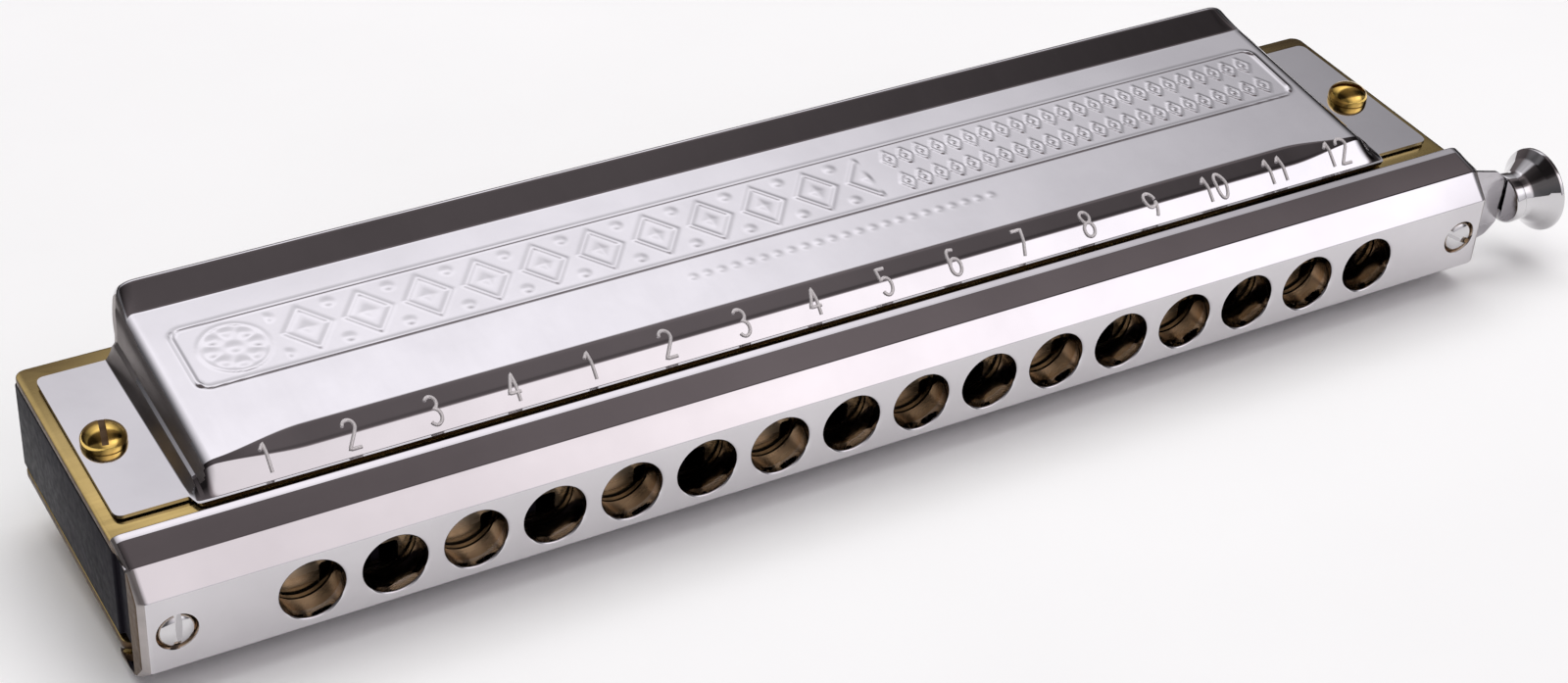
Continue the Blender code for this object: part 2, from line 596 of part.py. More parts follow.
def build_comb(frame, material):
    shape = bmesh.new()
    add_prism(shape, comb_outline(), "Z", -COMB_HALF_THICKNESS, COMB_HALF_THICKNESS)
    comb = add_object("comb", shape, material, frame)
    cutter = bmesh.new()
    past = COMB_HALF_THICKNESS + SEAT_GAP
    for index in range(HOLE_COUNT):
        y_range = (COMB_FRONT_Y - SEAT_GAP, reed_slot_end_y(index) + CHAMBER_END_GAP)
        for x in chamber_centres(index):
            x_range = (x - CHAMBER_WIDTH / 2, x + CHAMBER_WIDTH / 2)
            add_box(cutter, x_range, y_range, (WINDOW_LIFT, past))
            add_box(cutter, x_range, y_range, (-past, -WINDOW_LIFT))
    pocket_end = COMB_FRONT_Y + SPRING_POCKET_DEPTH
    pocket_z = (-SPRING_POCKET_HALF_HEIGHT, SPRING_POCKET_HALF_HEIGHT)
    pocket_x = (SPRING_POCKET_LEFT_X, SPRING_POCKET_RIGHT_X)
    add_box(cutter, pocket_x, (COMB_FRONT_Y - SEAT_GAP, pocket_end), pocket_z)
    boolean(comb, cutter, "chambers")
    bores = bmesh.new()
    screw_bore = MOUTHPIECE_SCREW_RADIUS + SHANK_GAP
    screws = [(-MOUTHPIECE_SCREW_X, 0.0), (MOUTHPIECE_SCREW_X, 0.0)]
    screw_end = MOUTHPIECE_SCREW_LENGTH + SEAT_GAP
    add_round_holes(bores, screws, screw_bore, 0.0, screw_end, "Y", SMALL_HOLE_SIDES)
    bolts = [(-COVER_BOLT_X, COVER_BOLT_Y), (COVER_BOLT_X, COVER_BOLT_Y)]
    bolt_bore = COVER_BOLT_RADIUS + SHANK_GAP
    add_round_holes(bores, bolts, bolt_bore, -past, past, "Z", SMALL_HOLE_SIDES)
    pin_bore = PLATE_SCREW_RADIUS + SHANK_GAP
    pin_floor = PLATE_OUTER_Z + SEAT_GAP - PLATE_SCREW_LENGTH - SEAT_GAP
    for side in (-1, 1):
        pins = [(x, REED_PLATE_SCREW_Y) for x in plate_screw_places()]
        add_round_holes(bores, pins, pin_bore, *sorted((side * pin_floor, side * past)), "Z", SMALL_HOLE_SIDES)
    wire_bore = SPRING_WIRE_RADIUS + SHANK_GAP
    anchor = [(SPRING_TIP_X, SPRING_ANCHOR_Z)]
    anchor_end = COMB_FRONT_Y + SPRING_POCKET_DEPTH / 2 + SPRING_ANCHOR_DEPTH + SEAT_GAP
    add_round_holes(bores, anchor, wire_bore, COMB_FRONT_Y + SEAT_GAP, anchor_end, "Y", SMALL_HOLE_SIDES)
    boolean(comb, bores, "bores")


def plate_screw_places():
    """Screws of a reed plate, spread between the cover bolts along the rear edge."""
    return [
        COVER_BOLT_X * (2 * (place + 0.5) / PLATE_SCREWS_PER_PLATE - 1)
        for place in range(PLATE_SCREWS_PER_PLATE)
    ]


def reed_section(root_z, pad_z, tongue_z, root_y, shoulder_y, tip_y):
    """Section of a reed in (y, z): a thick pad with a thin tongue along its far face."""
    return [
        (root_y, root_z),
        (shoulder_y, root_z),
        (shoulder_y, tongue_z),
        (tip_y, tongue_z),
        (tip_y, pad_z),
        (root_y, pad_z),
    ]


def build_reed_plate(name, side, frame, material):
    """A slotted plate that carries its inner reeds, riveted inside the chambers."""
    half = COMB_LENGTH / 2
    cut = REED_PLATE_CORNER
    right = [
        (half - cut, PLATE_FRONT_Y),
        (half, PLATE_FRONT_Y + cut),
        (half, COMB_BACK_Y - cut),
        (half - cut, COMB_BACK_Y),
    ]
    outline = right + [(-x, y) for x, y in reversed(right)]
    shape = bmesh.new()
    add_prism(shape, outline, "Z", side * PLATE_INNER_Z, side * PLATE_OUTER_Z)
    plate = add_object(name, shape, material, frame)
    through = sorted((side * (PLATE_INNER_Z - SEAT_GAP), side * (PLATE_OUTER_Z + SEAT_GAP)))
    cutter = bmesh.new()
    half_slot = REED_WIDTH / 2 + REED_SLOT_SIDE_GAP
    for index in range(HOLE_COUNT):
        for x in chamber_centres(index):
            y_range = (REED_SLOT_START_Y, reed_slot_end_y(index))
            add_box(cutter, (x - half_slot, x + half_slot), y_range, through)
    bolts = [(-COVER_BOLT_X, COVER_BOLT_Y), (COVER_BOLT_X, COVER_BOLT_Y)]
    add_round_holes(cutter, bolts, COVER_BOLT_RADIUS + SHANK_GAP, *through, "Z", SMALL_HOLE_SIDES)
    pins = [(x, REED_PLATE_SCREW_Y) for x in plate_screw_places()]
    add_round_holes(cutter, pins, PLATE_SCREW_RADIUS + SHANK_GAP, *through, "Z", SMALL_HOLE_SIDES)
    boolean(plate, cutter, "slots")
    reeds = bmesh.new()
    root_z = side * (PLATE_INNER_Z + PAD_ROOT)
    pad_z = side * (PLATE_INNER_Z - REED_PAD_THICKNESS)
    tongue_z = side * (PLATE_INNER_Z - REED_PAD_THICKNESS + REED_TONGUE_THICKNESS)
    for index in range(HOLE_COUNT):
        x = chamber_centres(index)[0]
        shoulder_y = REED_SLOT_START_Y - REED_PAD_SETBACK
        tip_y = REED_SLOT_START_Y + reed_length(index)
        root_y = shoulder_y - REED_PAD_LENGTH
        section = reed_section(root_z, pad_z, tongue_z, root_y, shoulder_y, tip_y)
        add_prism(reeds, section, "X", x - REED_WIDTH / 2, x + REED_WIDTH / 2)
    boolean(plate, reeds, "inner_reeds", "UNION")


def build_outer_reeds(name, side, frame, material):
    """Reeds on the plate's outer face, one for each hole, seen from the open back."""
    for index in range(HOLE_COUNT):
        shape = bmesh.new()
        x = chamber_centres(index)[1]
        root_z = side * (PLATE_OUTER_Z + SEAT_GAP)
        pad_z = root_z + side * REED_PAD_THICKNESS
        tongue_z = pad_z - side * REED_TONGUE_THICKNESS
        shoulder_y = reed_slot_end_y(index) + REED_PAD_SETBACK
        root_y = shoulder_y + REED_PAD_LENGTH
        tip_y = REED_SLOT_START_Y + REED_SLOT_END_GAP
        section = reed_section(root_z, pad_z, tongue_z, root_y, shoulder_y, tip_y)
        add_prism(shape, section, "X", x - REED_WIDTH / 2, x + REED_WIDTH / 2)
        add_object(f"{name}_{index + 1:02d}", shape, material, frame)


def cover_section():
    """Section of a cover's outer face in (y, z), from its foot over the crest to its skirt."""
    foot_end = COVER_FOOT_Y + COVER_FOOT_WIDTH
    rise_y = foot_end + RISE_RUN
    rise_z = FLANGE_OUTER_Z + RISE_HEIGHT
    front_y = rise_y + SHOULDER_RUN
    front_z = rise_z + SHOULDER_HEIGHT
    crease_y = front_y + PLATEAU_RUN
    crease_z = front_z + PLATEAU_HEIGHT
    back_y = crease_y + CREST_RUN
    back_z = crease_z + CREST_RUN * math.tan(CREST_SLOPE)
    corners = (
        (COVER_FOOT_Y, FLANGE_OUTER_Z, 0.0),
        (foot_end, FLANGE_OUTER_Z, FOOT_FILLET),
        (rise_y, rise_z, RISE_ROUNDING),
        (front_y, front_z, SHOULDER_ROUNDING),
        (crease_y, crease_z, CREASE_FILLET),
        (back_y, back_z, CREST_ROUNDING),
        (back_y, back_z - SKIRT_DROP, 0.0),
    )
    return rounded_path(corners, ARC_STEPS)


def cover_stations():
    """Places along X with the share of the section's height reached there."""
    flange_end = COMB_LENGTH / 2 - FLANGE_END_INSET
    wall_foot = flange_end - FLANGE_WIDTH
    wall_top = wall_foot - END_WALL_RUN
    height = RISE_HEIGHT + SHOULDER_HEIGHT + PLATEAU_HEIGHT / 2
    corners = (
        (flange_end, 0.0, 0.0),
        (wall_foot, 0.0, END_WALL_FILLET),
        (wall_top, height, END_WALL_ROUNDING),
        (0.0, height, 0.0),
    )
    right = [(point.x, point.y / height) for point in rounded_path(corners, ARC_STEPS)]
    return [(-x, share) for x, share in right[:-1]] + list(reversed(right[:-1]))


def build_cover(name, side, frame, material):
    """A pressed sheet: flat flanges at both ends, sloped end walls and a raised body."""
    section = cover_section()
    spread = (FLANGE_REAR_Y - FLANGE_FRONT_Y) / (section[-1].x - section[0].x)
    shape = bmesh.new()
    rows = []
    for x, share in cover_stations():
        row = []
        for point in section:
            flange_y = FLANGE_FRONT_Y + (point.x - section[0].x) * spread
            y = flange_y + (point.x - flange_y) * share
            z = FLANGE_OUTER_Z + (point.y - FLANGE_OUTER_Z) * share
            row.append(shape.verts.new((x, y, side * z)))
        rows.append(row)
    for row, following in zip(rows, rows[1:]):
        for place in range(len(section) - 1):
            corners = (row[place], following[place], following[place + 1], row[place + 1])
            shape.faces.new(corners if side > 0 else tuple(reversed(corners)))
    mesh = bpy.data.meshes.new(name)
    shape.to_mesh(mesh)
    shape.free()
    mesh.shade_smooth()
    mesh.set_sharp_from_angle(angle=math.radians(35))
    mesh.materials.append(material)
    cover = bpy.data.objects.new(name, mesh)
    bpy.context.scene.collection.objects.link(cover)
    cover.parent = frame
    solidify = cover.modifiers.new("sheet", "SOLIDIFY")
    solidify.thickness = COVER_THICKNESS
    solidify.offset = -1.0
    solidify.use_even_offset = True
    cutter = bmesh.new()
    through = sorted((side * (FLANGE_INNER_Z - SEAT_GAP), side * (FLANGE_OUTER_Z + SEAT_GAP)))
    bolts = [(-COVER_BOLT_X, COVER_BOLT_Y), (COVER_BOLT_X, COVER_BOLT_Y)]
    add_round_holes(cutter, bolts, COVER_BOLT_RADIUS + SHANK_GAP, *through, "Z", SMALL_HOLE_SIDES)
    boolean(cover, cutter, "bolt_holes")


def dome_profile(base, radius, height, steps=3):
    """Turned profile of a domed head whose edge is at the base and whose top is on the axis."""
    profile = []
    for step in range(steps + 1):
        angle = math.pi / 2 * step / steps
        profile.append((base + height * math.sin(angle), radius * math.cos(angle)))
    profile[-1] = (base + height, 0.0)
    return profile


def build_mouthpiece_screws(frame, material):
    """Countersunk screws with raised heads, driven through the mouthpiece into the comb."""
    for name, x in (("left", -MOUTHPIECE_SCREW_X), ("right", MOUTHPIECE_SCREW_X)):
        shape = bmesh.new()
        profile = list(reversed(dome_profile(0.0, MOUTHPIECE_SCREW_HEAD_RADIUS, -MOUTHPIECE_SCREW_DOME)))
        profile += [
            (MOUTHPIECE_SCREW_HEAD_DEPTH, MOUTHPIECE_SCREW_RADIUS),
            (MOUTHPIECE_SCREW_LENGTH, MOUTHPIECE_SCREW_RADIUS),
        ]
        add_turned(shape, profile, "Y", (x, 0.0), BOLT_SIDES)
        screw = add_object("mouthpiece_screw_" + name, shape, material, frame, smooth_degrees=35)
        cutter = bmesh.new()
        wide = MOUTHPIECE_SCREW_HEAD_RADIUS + SEAT_GAP
        x_range = (x - DRIVER_SLOT_WIDTH / 2, x + DRIVER_SLOT_WIDTH / 2)
        top = -MOUTHPIECE_SCREW_DOME
        add_box(cutter, x_range, (top - SEAT_GAP, top + DRIVER_SLOT_DEPTH), (-wide, wide))
        boolean(screw, cutter, "driver_slot")


def build_cover_bolts(frame, material):
    """Two slotted bolts clamp both covers and both reed plates to the comb."""
    for name, x in (("left", -COVER_BOLT_X), ("right", COVER_BOLT_X)):
        centre = (x, COVER_BOLT_Y)
        shape = bmesh.new()
        bolt_end = -(BOLT_SEAT_Z + NUT_HEIGHT + BOLT_END_STICKOUT)
        profile = [(bolt_end, COVER_BOLT_RADIUS), (BOLT_SEAT_Z, COVER_BOLT_RADIUS)]
        rim = BOLT_SEAT_Z + COVER_BOLT_HEAD_HEIGHT * 0.3
        profile += [(BOLT_SEAT_Z, COVER_BOLT_HEAD_RADIUS)]
        profile += dome_profile(rim, COVER_BOLT_HEAD_RADIUS, COVER_BOLT_HEAD_HEIGHT * 0.7)
        add_turned(shape, profile, "Z", centre, BOLT_SIDES)
        bolt = add_object("cover_bolt_" + name, shape, material, frame, smooth_degrees=35)
        cutter = bmesh.new()
        wide = COVER_BOLT_HEAD_RADIUS + SEAT_GAP
        top = BOLT_SEAT_Z + COVER_BOLT_HEAD_HEIGHT
        x_range = (x - DRIVER_SLOT_WIDTH / 2, x + DRIVER_SLOT_WIDTH / 2)
        y_range = (COVER_BOLT_Y - wide, COVER_BOLT_Y + wide)
        add_box(cutter, x_range, y_range, (top - DRIVER_SLOT_DEPTH, top + SEAT_GAP))
        boolean(bolt, cutter, "driver_slot")
        nut = bmesh.new()
        span = ((-BOLT_SEAT_Z - NUT_HEIGHT, NUT_RADIUS), (-BOLT_SEAT_Z, NUT_RADIUS))
        add_turned(nut, span, "Z", centre, 6)
        hexagon = add_object("cover_nut_" + name, nut, material, frame)
        bore = bmesh.new()
        through = (-BOLT_SEAT_Z - NUT_HEIGHT - SEAT_GAP, -BOLT_SEAT_Z + SEAT_GAP)
        add_round_holes(bore, [centre], COVER_BOLT_RADIUS + SHANK_GAP, *through, "Z", SMALL_HOLE_SIDES)
        boolean(hexagon, bore, "bore")


def build_plate_screws(name, side, frame, material):
    """Small round-headed screws that hold a reed plate along its rear edge."""
    for place, x in enumerate(plate_screw_places()):
        shape = bmesh.new()
        seat = side * (PLATE_OUTER_Z + SEAT_GAP)
        profile = (
            (seat + side * PLATE_SCREW_HEAD_HEIGHT, PLATE_SCREW_HEAD_RADIUS * 0.7),
            (seat + side * PLATE_SCREW_HEAD_HEIGHT / 2, PLATE_SCREW_HEAD_RADIUS),
            (seat, PLATE_SCREW_HEAD_RADIUS),
            (seat, PLATE_SCREW_RADIUS),
            (seat - side * PLATE_SCREW_LENGTH, PLATE_SCREW_RADIUS),
        )
        add_turned(shape, profile, "Z", (x, REED_PLATE_SCREW_Y), SMALL_HOLE_SIDES)
        add_object(f"{name}_{place + 1}", shape, material, frame, smooth_degrees=35)


def resting_tilt():
    """Slope of the line that the lower cover rests on, between its shoulder and its crest."""
    points = sorted(cover_section(), key=lambda point: point.x)
    middle = (COMB_FRONT_Y + COMB_BACK_Y) / 2
    steepest = None
    for front in (point for point in points if point.x < middle):
        slopes = [
            (back.y - front.y) / (back.x - front.x) for back in points if back.x > middle
        ]
        slope = max(slopes)
        if steepest is None or slope < steepest:
            steepest = slope
    return math.atan(steepest)


def set_down(frame):
    """Tips the instrument forward and puts the middle of its box's base on the origin."""
    frame.rotation_euler.x = resting_tilt()
    bpy.context.view_layer.update()
    graph = bpy.context.evaluated_depsgraph_get()
    corners = []
    for item in bpy.context.scene.objects:
        if item.type == "EMPTY" or item.hide_render:
            continue
        evaluated = item.evaluated_get(graph)
        mesh = evaluated.to_mesh()
        corners += [evaluated.matrix_world @ vertex.co for vertex in mesh.vertices]
        evaluated.to_mesh_clear()
    low = Vector(min(corner[axis] for corner in corners) for axis in range(3))
    high = Vector(max(corner[axis] for corner in corners) for axis in range(3))
    frame.location = (-(low.x + high.x) / 2, -(low.y + high.y) / 2, -low.z)


def add_frame(name, parent=None):
    frame = bpy.data.objects.new(name, None)
    bpy.context.scene.collection.objects.link(frame)
    frame.parent = parent
    return frame


def main():
    for item in list(bpy.data.objects):
        bpy.data.objects.remove(item, do_unlink=True)
    finish = {name: make_material(name) for name in FINISHES}
    instrument = add_frame("instrument_frame")
    slide_axis = add_frame("slide_frame", instrument)
    build_comb(instrument, finish["black_plastic"])
    for name, side in (("upper", 1), ("lower", -1)):
        build_reed_plate(name + "_reed_plate", side, instrument, finish["brass"])
        build_outer_reeds(name + "_reed", side, instrument, finish["brass"])
        build_plate_screws(name + "_reed_plate_screw", side, instrument, finish["brass"])
        build_cover(name + "_cover", side, instrument, finish["chrome"])
    build_mouthpiece(instrument, finish["chrome"])
    build_cage_plate(instrument, finish["slide_steel"])
    build_back_plate(instrument, finish["slide_steel"])
    build_slide(slide_axis, finish["slide_steel"])
    build_button(slide_axis, finish["chrome"])
    build_bumpers(instrument, finish["rubber"])
    build_spring(instrument, finish["spring_steel"])
    build_mouthpiece_screws(instrument, finish["chrome"])
    build_cover_bolts(instrument, finish["brass"])
    set_down(instrument)


main()
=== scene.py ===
"""Looks of the sixteen-hole chromatic harmonica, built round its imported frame.

Pieces are modelled in the instrument's own frame, in metres: X along the row of holes towards the
button, Y from the mouthpiece to the open back, Z up from the comb's middle plane, with the origin
in the middle of the mouthpiece's front face. PLACE then lays them where the frame lies.
"""
import math

import bmesh
import bpy
from mathutils import Matrix, Vector


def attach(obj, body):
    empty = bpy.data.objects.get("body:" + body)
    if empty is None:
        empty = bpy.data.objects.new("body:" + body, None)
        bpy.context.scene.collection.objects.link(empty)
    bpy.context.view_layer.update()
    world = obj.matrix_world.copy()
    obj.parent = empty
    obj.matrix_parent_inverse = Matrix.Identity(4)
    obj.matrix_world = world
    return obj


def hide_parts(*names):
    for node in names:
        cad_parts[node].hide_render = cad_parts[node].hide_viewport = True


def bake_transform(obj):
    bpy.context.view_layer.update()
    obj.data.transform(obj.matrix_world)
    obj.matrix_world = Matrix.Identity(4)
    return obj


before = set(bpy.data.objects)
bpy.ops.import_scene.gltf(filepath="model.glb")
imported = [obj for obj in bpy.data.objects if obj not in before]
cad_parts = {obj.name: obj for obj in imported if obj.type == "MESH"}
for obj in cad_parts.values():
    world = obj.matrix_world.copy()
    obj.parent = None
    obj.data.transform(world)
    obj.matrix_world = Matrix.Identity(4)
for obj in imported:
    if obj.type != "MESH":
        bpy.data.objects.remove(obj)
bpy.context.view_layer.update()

MM = 0.001
TILT = 0.12571382522583008
SHIFT = Vector((-7.0, -22.3622, 8.6719)) * MM
PLACE = Matrix.Translation(SHIFT) @ Matrix.Rotation(TILT, 4, "X")

# Row of holes
HOLE_COUNT = 16
HOLE_PITCH = 9.6 * MM
HOLE_RADIUS = 3.8 * MM
HOLE_RIM = 0.3 * MM
PLATED_DEPTH = 1.4 * MM

# Mouthpiece
MOUTHPIECE_HALF = 91.2 * MM
MOUTHPIECE_WALL = 3.4 * MM
FACE_HALF_HEIGHT = 4.84 * MM
CHAMFER_END = (3.0 * MM, 7.6 * MM)
BROW_END = 6.7 * MM
LIP_DEPTH = 7.9 * MM
LIP_TOP = 8.55 * MM
CHANNEL_HALF_HEIGHT = 7.4 * MM
END_ROUNDING = 1.3 * MM
END_DROP = 0.45

# Slide and its cage: the first three are (front, back) along Y
CAGE_FRONT = (3.7 * MM, 4.2 * MM)
SLIDE_SHEET = (4.5 * MM, 5.0 * MM)
BACK_PLATE = (5.3 * MM, 5.9 * MM)
CAGE_HALF_HEIGHT = 7.1 * MM
CAGE_HALF_LENGTH = 90.3 * MM
CAGE_FOLD = 0.5 * MM
SLIDE_HALF_HEIGHT = 6.3 * MM
SLIDE_LEFT = -84.8 * MM
SLIDE_TRAVEL = 4.5 * MM
SLIDE_MIDDLE_Y = 4.75 * MM
SLIDE_SLOT_HALF = 2.0 * MM
WINDOW_WIDTH = 4.2 * MM
WINDOW_HEIGHT = 3.3 * MM
WINDOW_LIFT = 0.55 * MM
WINDOW_CORNER = 0.5 * MM
TAB_END = 98.2 * MM
TAB_HALF_HEIGHT = 4.9 * MM
TONGUE_LENGTH = 2.6 * MM
TONGUE_HALF_HEIGHT = 1.3 * MM

# Hairpin spring: its tip is given in (x, z), and its pocket as ranges along X, Y and Z
SPRING_TIP = (-78.25 * MM, 3.6 * MM)
SPRING_LEG_Z = -3.8 * MM
SPRING_BEND_X = -82.95 * MM
SPRING_Y = 7.7 * MM
SPRING_WIRE = 0.35 * MM
SPRING_LEG_END = 12.6 * MM
SPRING_POCKET = ((-83.8 * MM, -77.4 * MM), (5.7 * MM, 9.2 * MM), (-5.0 * MM, 5.0 * MM))

# Comb and reed plates
COMB_HALF = 91.0 * MM
COMB_FRONT = 6.2 * MM
COMB_BACK = 41.4 * MM
COMB_HALF_THICKNESS = 5.8 * MM
COMB_STEP = 0.6 * MM
CHAMBER_WIDTH = 3.7 * MM
CHAMBER_SPACING = 4.7 * MM
PLATE_Z = (6.1 * MM, 7.1 * MM)
PLATE_FRONT = 7.0 * MM

# Reeds and valves
REED_START = 14.0 * MM
LONGEST_REED = 21.0 * MM
SHORTEST_REED = 9.0 * MM
REED_WIDTH = 2.0 * MM
REED_SLOT_EXTRA = 0.6 * MM
REED_PAD = 3.5 * MM
VALVE_HALF_WIDTH = 1.45 * MM

# Covers
FLANGE_Z = 7.85 * MM
SHEET = 0.45 * MM
FLANGE_END = 89.4 * MM
WALL_FOOT = 81.15 * MM
WALL_TOP = 78.6 * MM
FLANGE_Y = (11.3 * MM, 38.2 * MM)
FLANGE_CORNER = 1.0 * MM
SKIRT_Z = 10.22 * MM
FOLD_STEPS = 8
TAPER_START = 67.0 * MM
CREASE_Y = 38.9 * MM
CREST_Y = 43.0 * MM
CREST_DEGREES = 24.0
BACK_Y = 44.45 * MM
PLATEAU_START = (14.6 * MM, 10.6 * MM)
PLATEAU_SLOPE = 2.05 / 24.3

# Pressed relief on the covers' plateaus
PANEL_X = (-75.0 * MM, 76.4 * MM)
PANEL_Y = (24.0 * MM, 34.5 * MM)
PANEL_CORNER = 1.6 * MM
RELIEF = 0.07 * MM
FRAME_RELIEF = 0.16 * MM
ROSETTE_X = -69.0 * MM
ROSETTE_RADIUS = 4.3 * MM
LOZENGE_START = -60.2 * MM
LOZENGE_PITCH = 7.4 * MM
LOZENGE_END = 14.0 * MM
LEAF_START = 18.2 * MM
LEAF_PITCH = 2.4 * MM
LEAF_COUNT = 24
BEAD_ROW_X = (-16.0 * MM, 27.0 * MM)
BEAD_ROW_MIDDLE = (5.5 * MM, 20.5 * MM)
BEAD_PITCH = 1.9 * MM

# Hole numbers
NUMBER_START = -72.1 * MM
NUMBER_PITCH = 9.76 * MM
NUMBER_SPAN = (1.2 * MM, 4.7 * MM)
NUMBER_STROKE = 0.22 * MM

# Fasteners
SCREW_X = 87.2 * MM
SCREW_HOLE_RADIUS = 1.2 * MM
SCREW_HEAD_RADIUS = 2.05 * MM
SCREW_SHANK_RADIUS = 0.9 * MM
SCREW_END = 14.0 * MM
BOLT_X = 86.2 * MM
BOLT_Y = 24.2 * MM
BOLT_HOLE_RADIUS = 1.3 * MM
BOLT_HEAD_RADIUS = 2.6 * MM
BOLT_SEAT = 8.15 * MM
NUT_RADIUS = 2.5 * MM
NUT_HEIGHT = 1.6 * MM
PLATE_SCREW_Y = 39.8 * MM
PLATE_SCREW_HOLE_RADIUS = 0.8 * MM
PLATE_SCREW_LENGTH = 3.4 * MM
PLATE_SCREW_COUNT = 4

# Light: the strongest level of the world, and the tints of its parts
BRIGHTEST = 1.65
BRIGHT_TINT = (1.0, 0.975, 1.02)
DIM_TINT = (1.0, 0.86, 0.88)
ROSY_TINT = (1.0, 0.935, 0.955)

# Shares of sideways reflection over which one arch of light gives way to the next, or fades
LEFT_TO_MIDDLE = (0.24, 0.42)
MIDDLE_TO_RIGHT = (0.40, 0.62)
LEFT_FADE = (-0.50, 0.05)
RIGHT_FADE = (0.66, 0.84)

# Floor and lamp
FLOOR_HALF = 4.0
FLOOR_Z = -0.0002
LAMP_PLACE = (0.1, 0.1, 1.3)
LAMP_AIM = (0.0, 0.0, 0.01)
LAMP_SIDE = 1.6
LAMP_POWER = 17.0

# Grain of the materials: the part of a noise's range in use, and two stretches of it
NOISE_RANGE = (0.3, 0.7)
EVEN = (1.0, 1.0, 1.0)
LENGTHWISE = (1.0, 14.0, 14.0)


def hole_x(index):
    return (index - (HOLE_COUNT - 1) / 2) * HOLE_PITCH


def reed_length(index):
    return LONGEST_REED + (SHORTEST_REED - LONGEST_REED) * index / (HOLE_COUNT - 1)


def smooth_step(value):
    value = min(max(value, 0.0), 1.0)
    return value * value * (3 - 2 * value)


# Materials

def new_material(name):
    material = bpy.data.materials.new(name)
    material.use_nodes = True
    return material, material.node_tree, material.node_tree.nodes["Principled BSDF"]


def add_node(tree, kind, settings):
    """A shader node. Each input in the settings gets a value or is joined to a socket."""
    node = tree.nodes.new("ShaderNode" + kind)
    for name, value in settings.items():
        if isinstance(value, bpy.types.NodeSocket):
            tree.links.new(value, node.inputs[name])
        else:
            node.inputs[name].default_value = value
    return node


def object_coordinates(tree, scale):
    """Object coordinates stretched by a scale on each axis."""
    source = add_node(tree, "TexCoord", {}).outputs["Object"]
    return add_node(tree, "Mapping", {"Vector": source, "Scale": scale}).outputs["Vector"]


def noise(tree, coordinates, scale, detail=4.0, roughness=0.55):
    settings = {"Vector": coordinates, "Scale": scale, "Detail": detail, "Roughness": roughness}
    return add_node(tree, "TexNoise", settings).outputs["Fac"]


def map_range(tree, value, source, target):
    """Maps a value from one range to another, held at the ends."""
    ranges = {"From Min": source[0], "From Max": source[1], "To Min": target[0], "To Max": target[1]}
    return add_node(tree, "MapRange", {"Value": value, **ranges}).outputs["Result"]


def colour_between(tree, value, first, second):
    """Two colours mixed over the middle range of a noise."""
    node = add_node(tree, "ValToRGB", {"Fac": value})
    for element, place, colour in zip(node.color_ramp.elements, NOISE_RANGE, (first, second)):
        element.position = place
        element.color = (*colour, 1.0)
    return node.outputs["Color"]


def bump(tree, shader, heights):
    """Chained bumps: each height is (value, strength, distance)."""
    normal = None
    for value, strength, distance in heights:
        settings = {"Height": value, "Strength": strength, "Distance": distance}
        if normal:
            settings["Normal"] = normal
        normal = add_node(tree, "Bump", settings).outputs["Normal"]
    tree.links.new(normal, shader.inputs["Normal"])


def surface_material(name, first, second, metallic, roughness, grain, waviness=None, specular=None):
    """Two tones mixed by soft noise, roughness from stretched noise, and bump from grain.

    grain is (stretch, scale, strength, depth); waviness is (scale, strength, depth).
    """
    material, tree, shader = new_material(name)
    stretch, scale, strength, depth = grain
    broad = noise(tree, object_coordinates(tree, EVEN), 90.0, 5.0)
    fine = noise(tree, object_coordinates(tree, stretch), scale, 6.0, 0.6)
    shader.inputs["Metallic"].default_value = metallic
    if specular is not None:
        shader.inputs["Specular IOR Level"].default_value = specular
    tree.links.new(colour_between(tree, broad, first, second), shader.inputs["Base Color"])
    tree.links.new(map_range(tree, fine, NOISE_RANGE, roughness), shader.inputs["Roughness"])
    heights = [(fine, strength, depth)]
    if waviness:
        wave_scale, wave_strength, wave_depth = waviness
        wave = noise(tree, object_coordinates(tree, (0.35, 1.0, 1.0)), wave_scale, 1.5, 0.4)
        heights.append((wave, wave_strength, wave_depth))
    bump(tree, shader, heights)
    return material


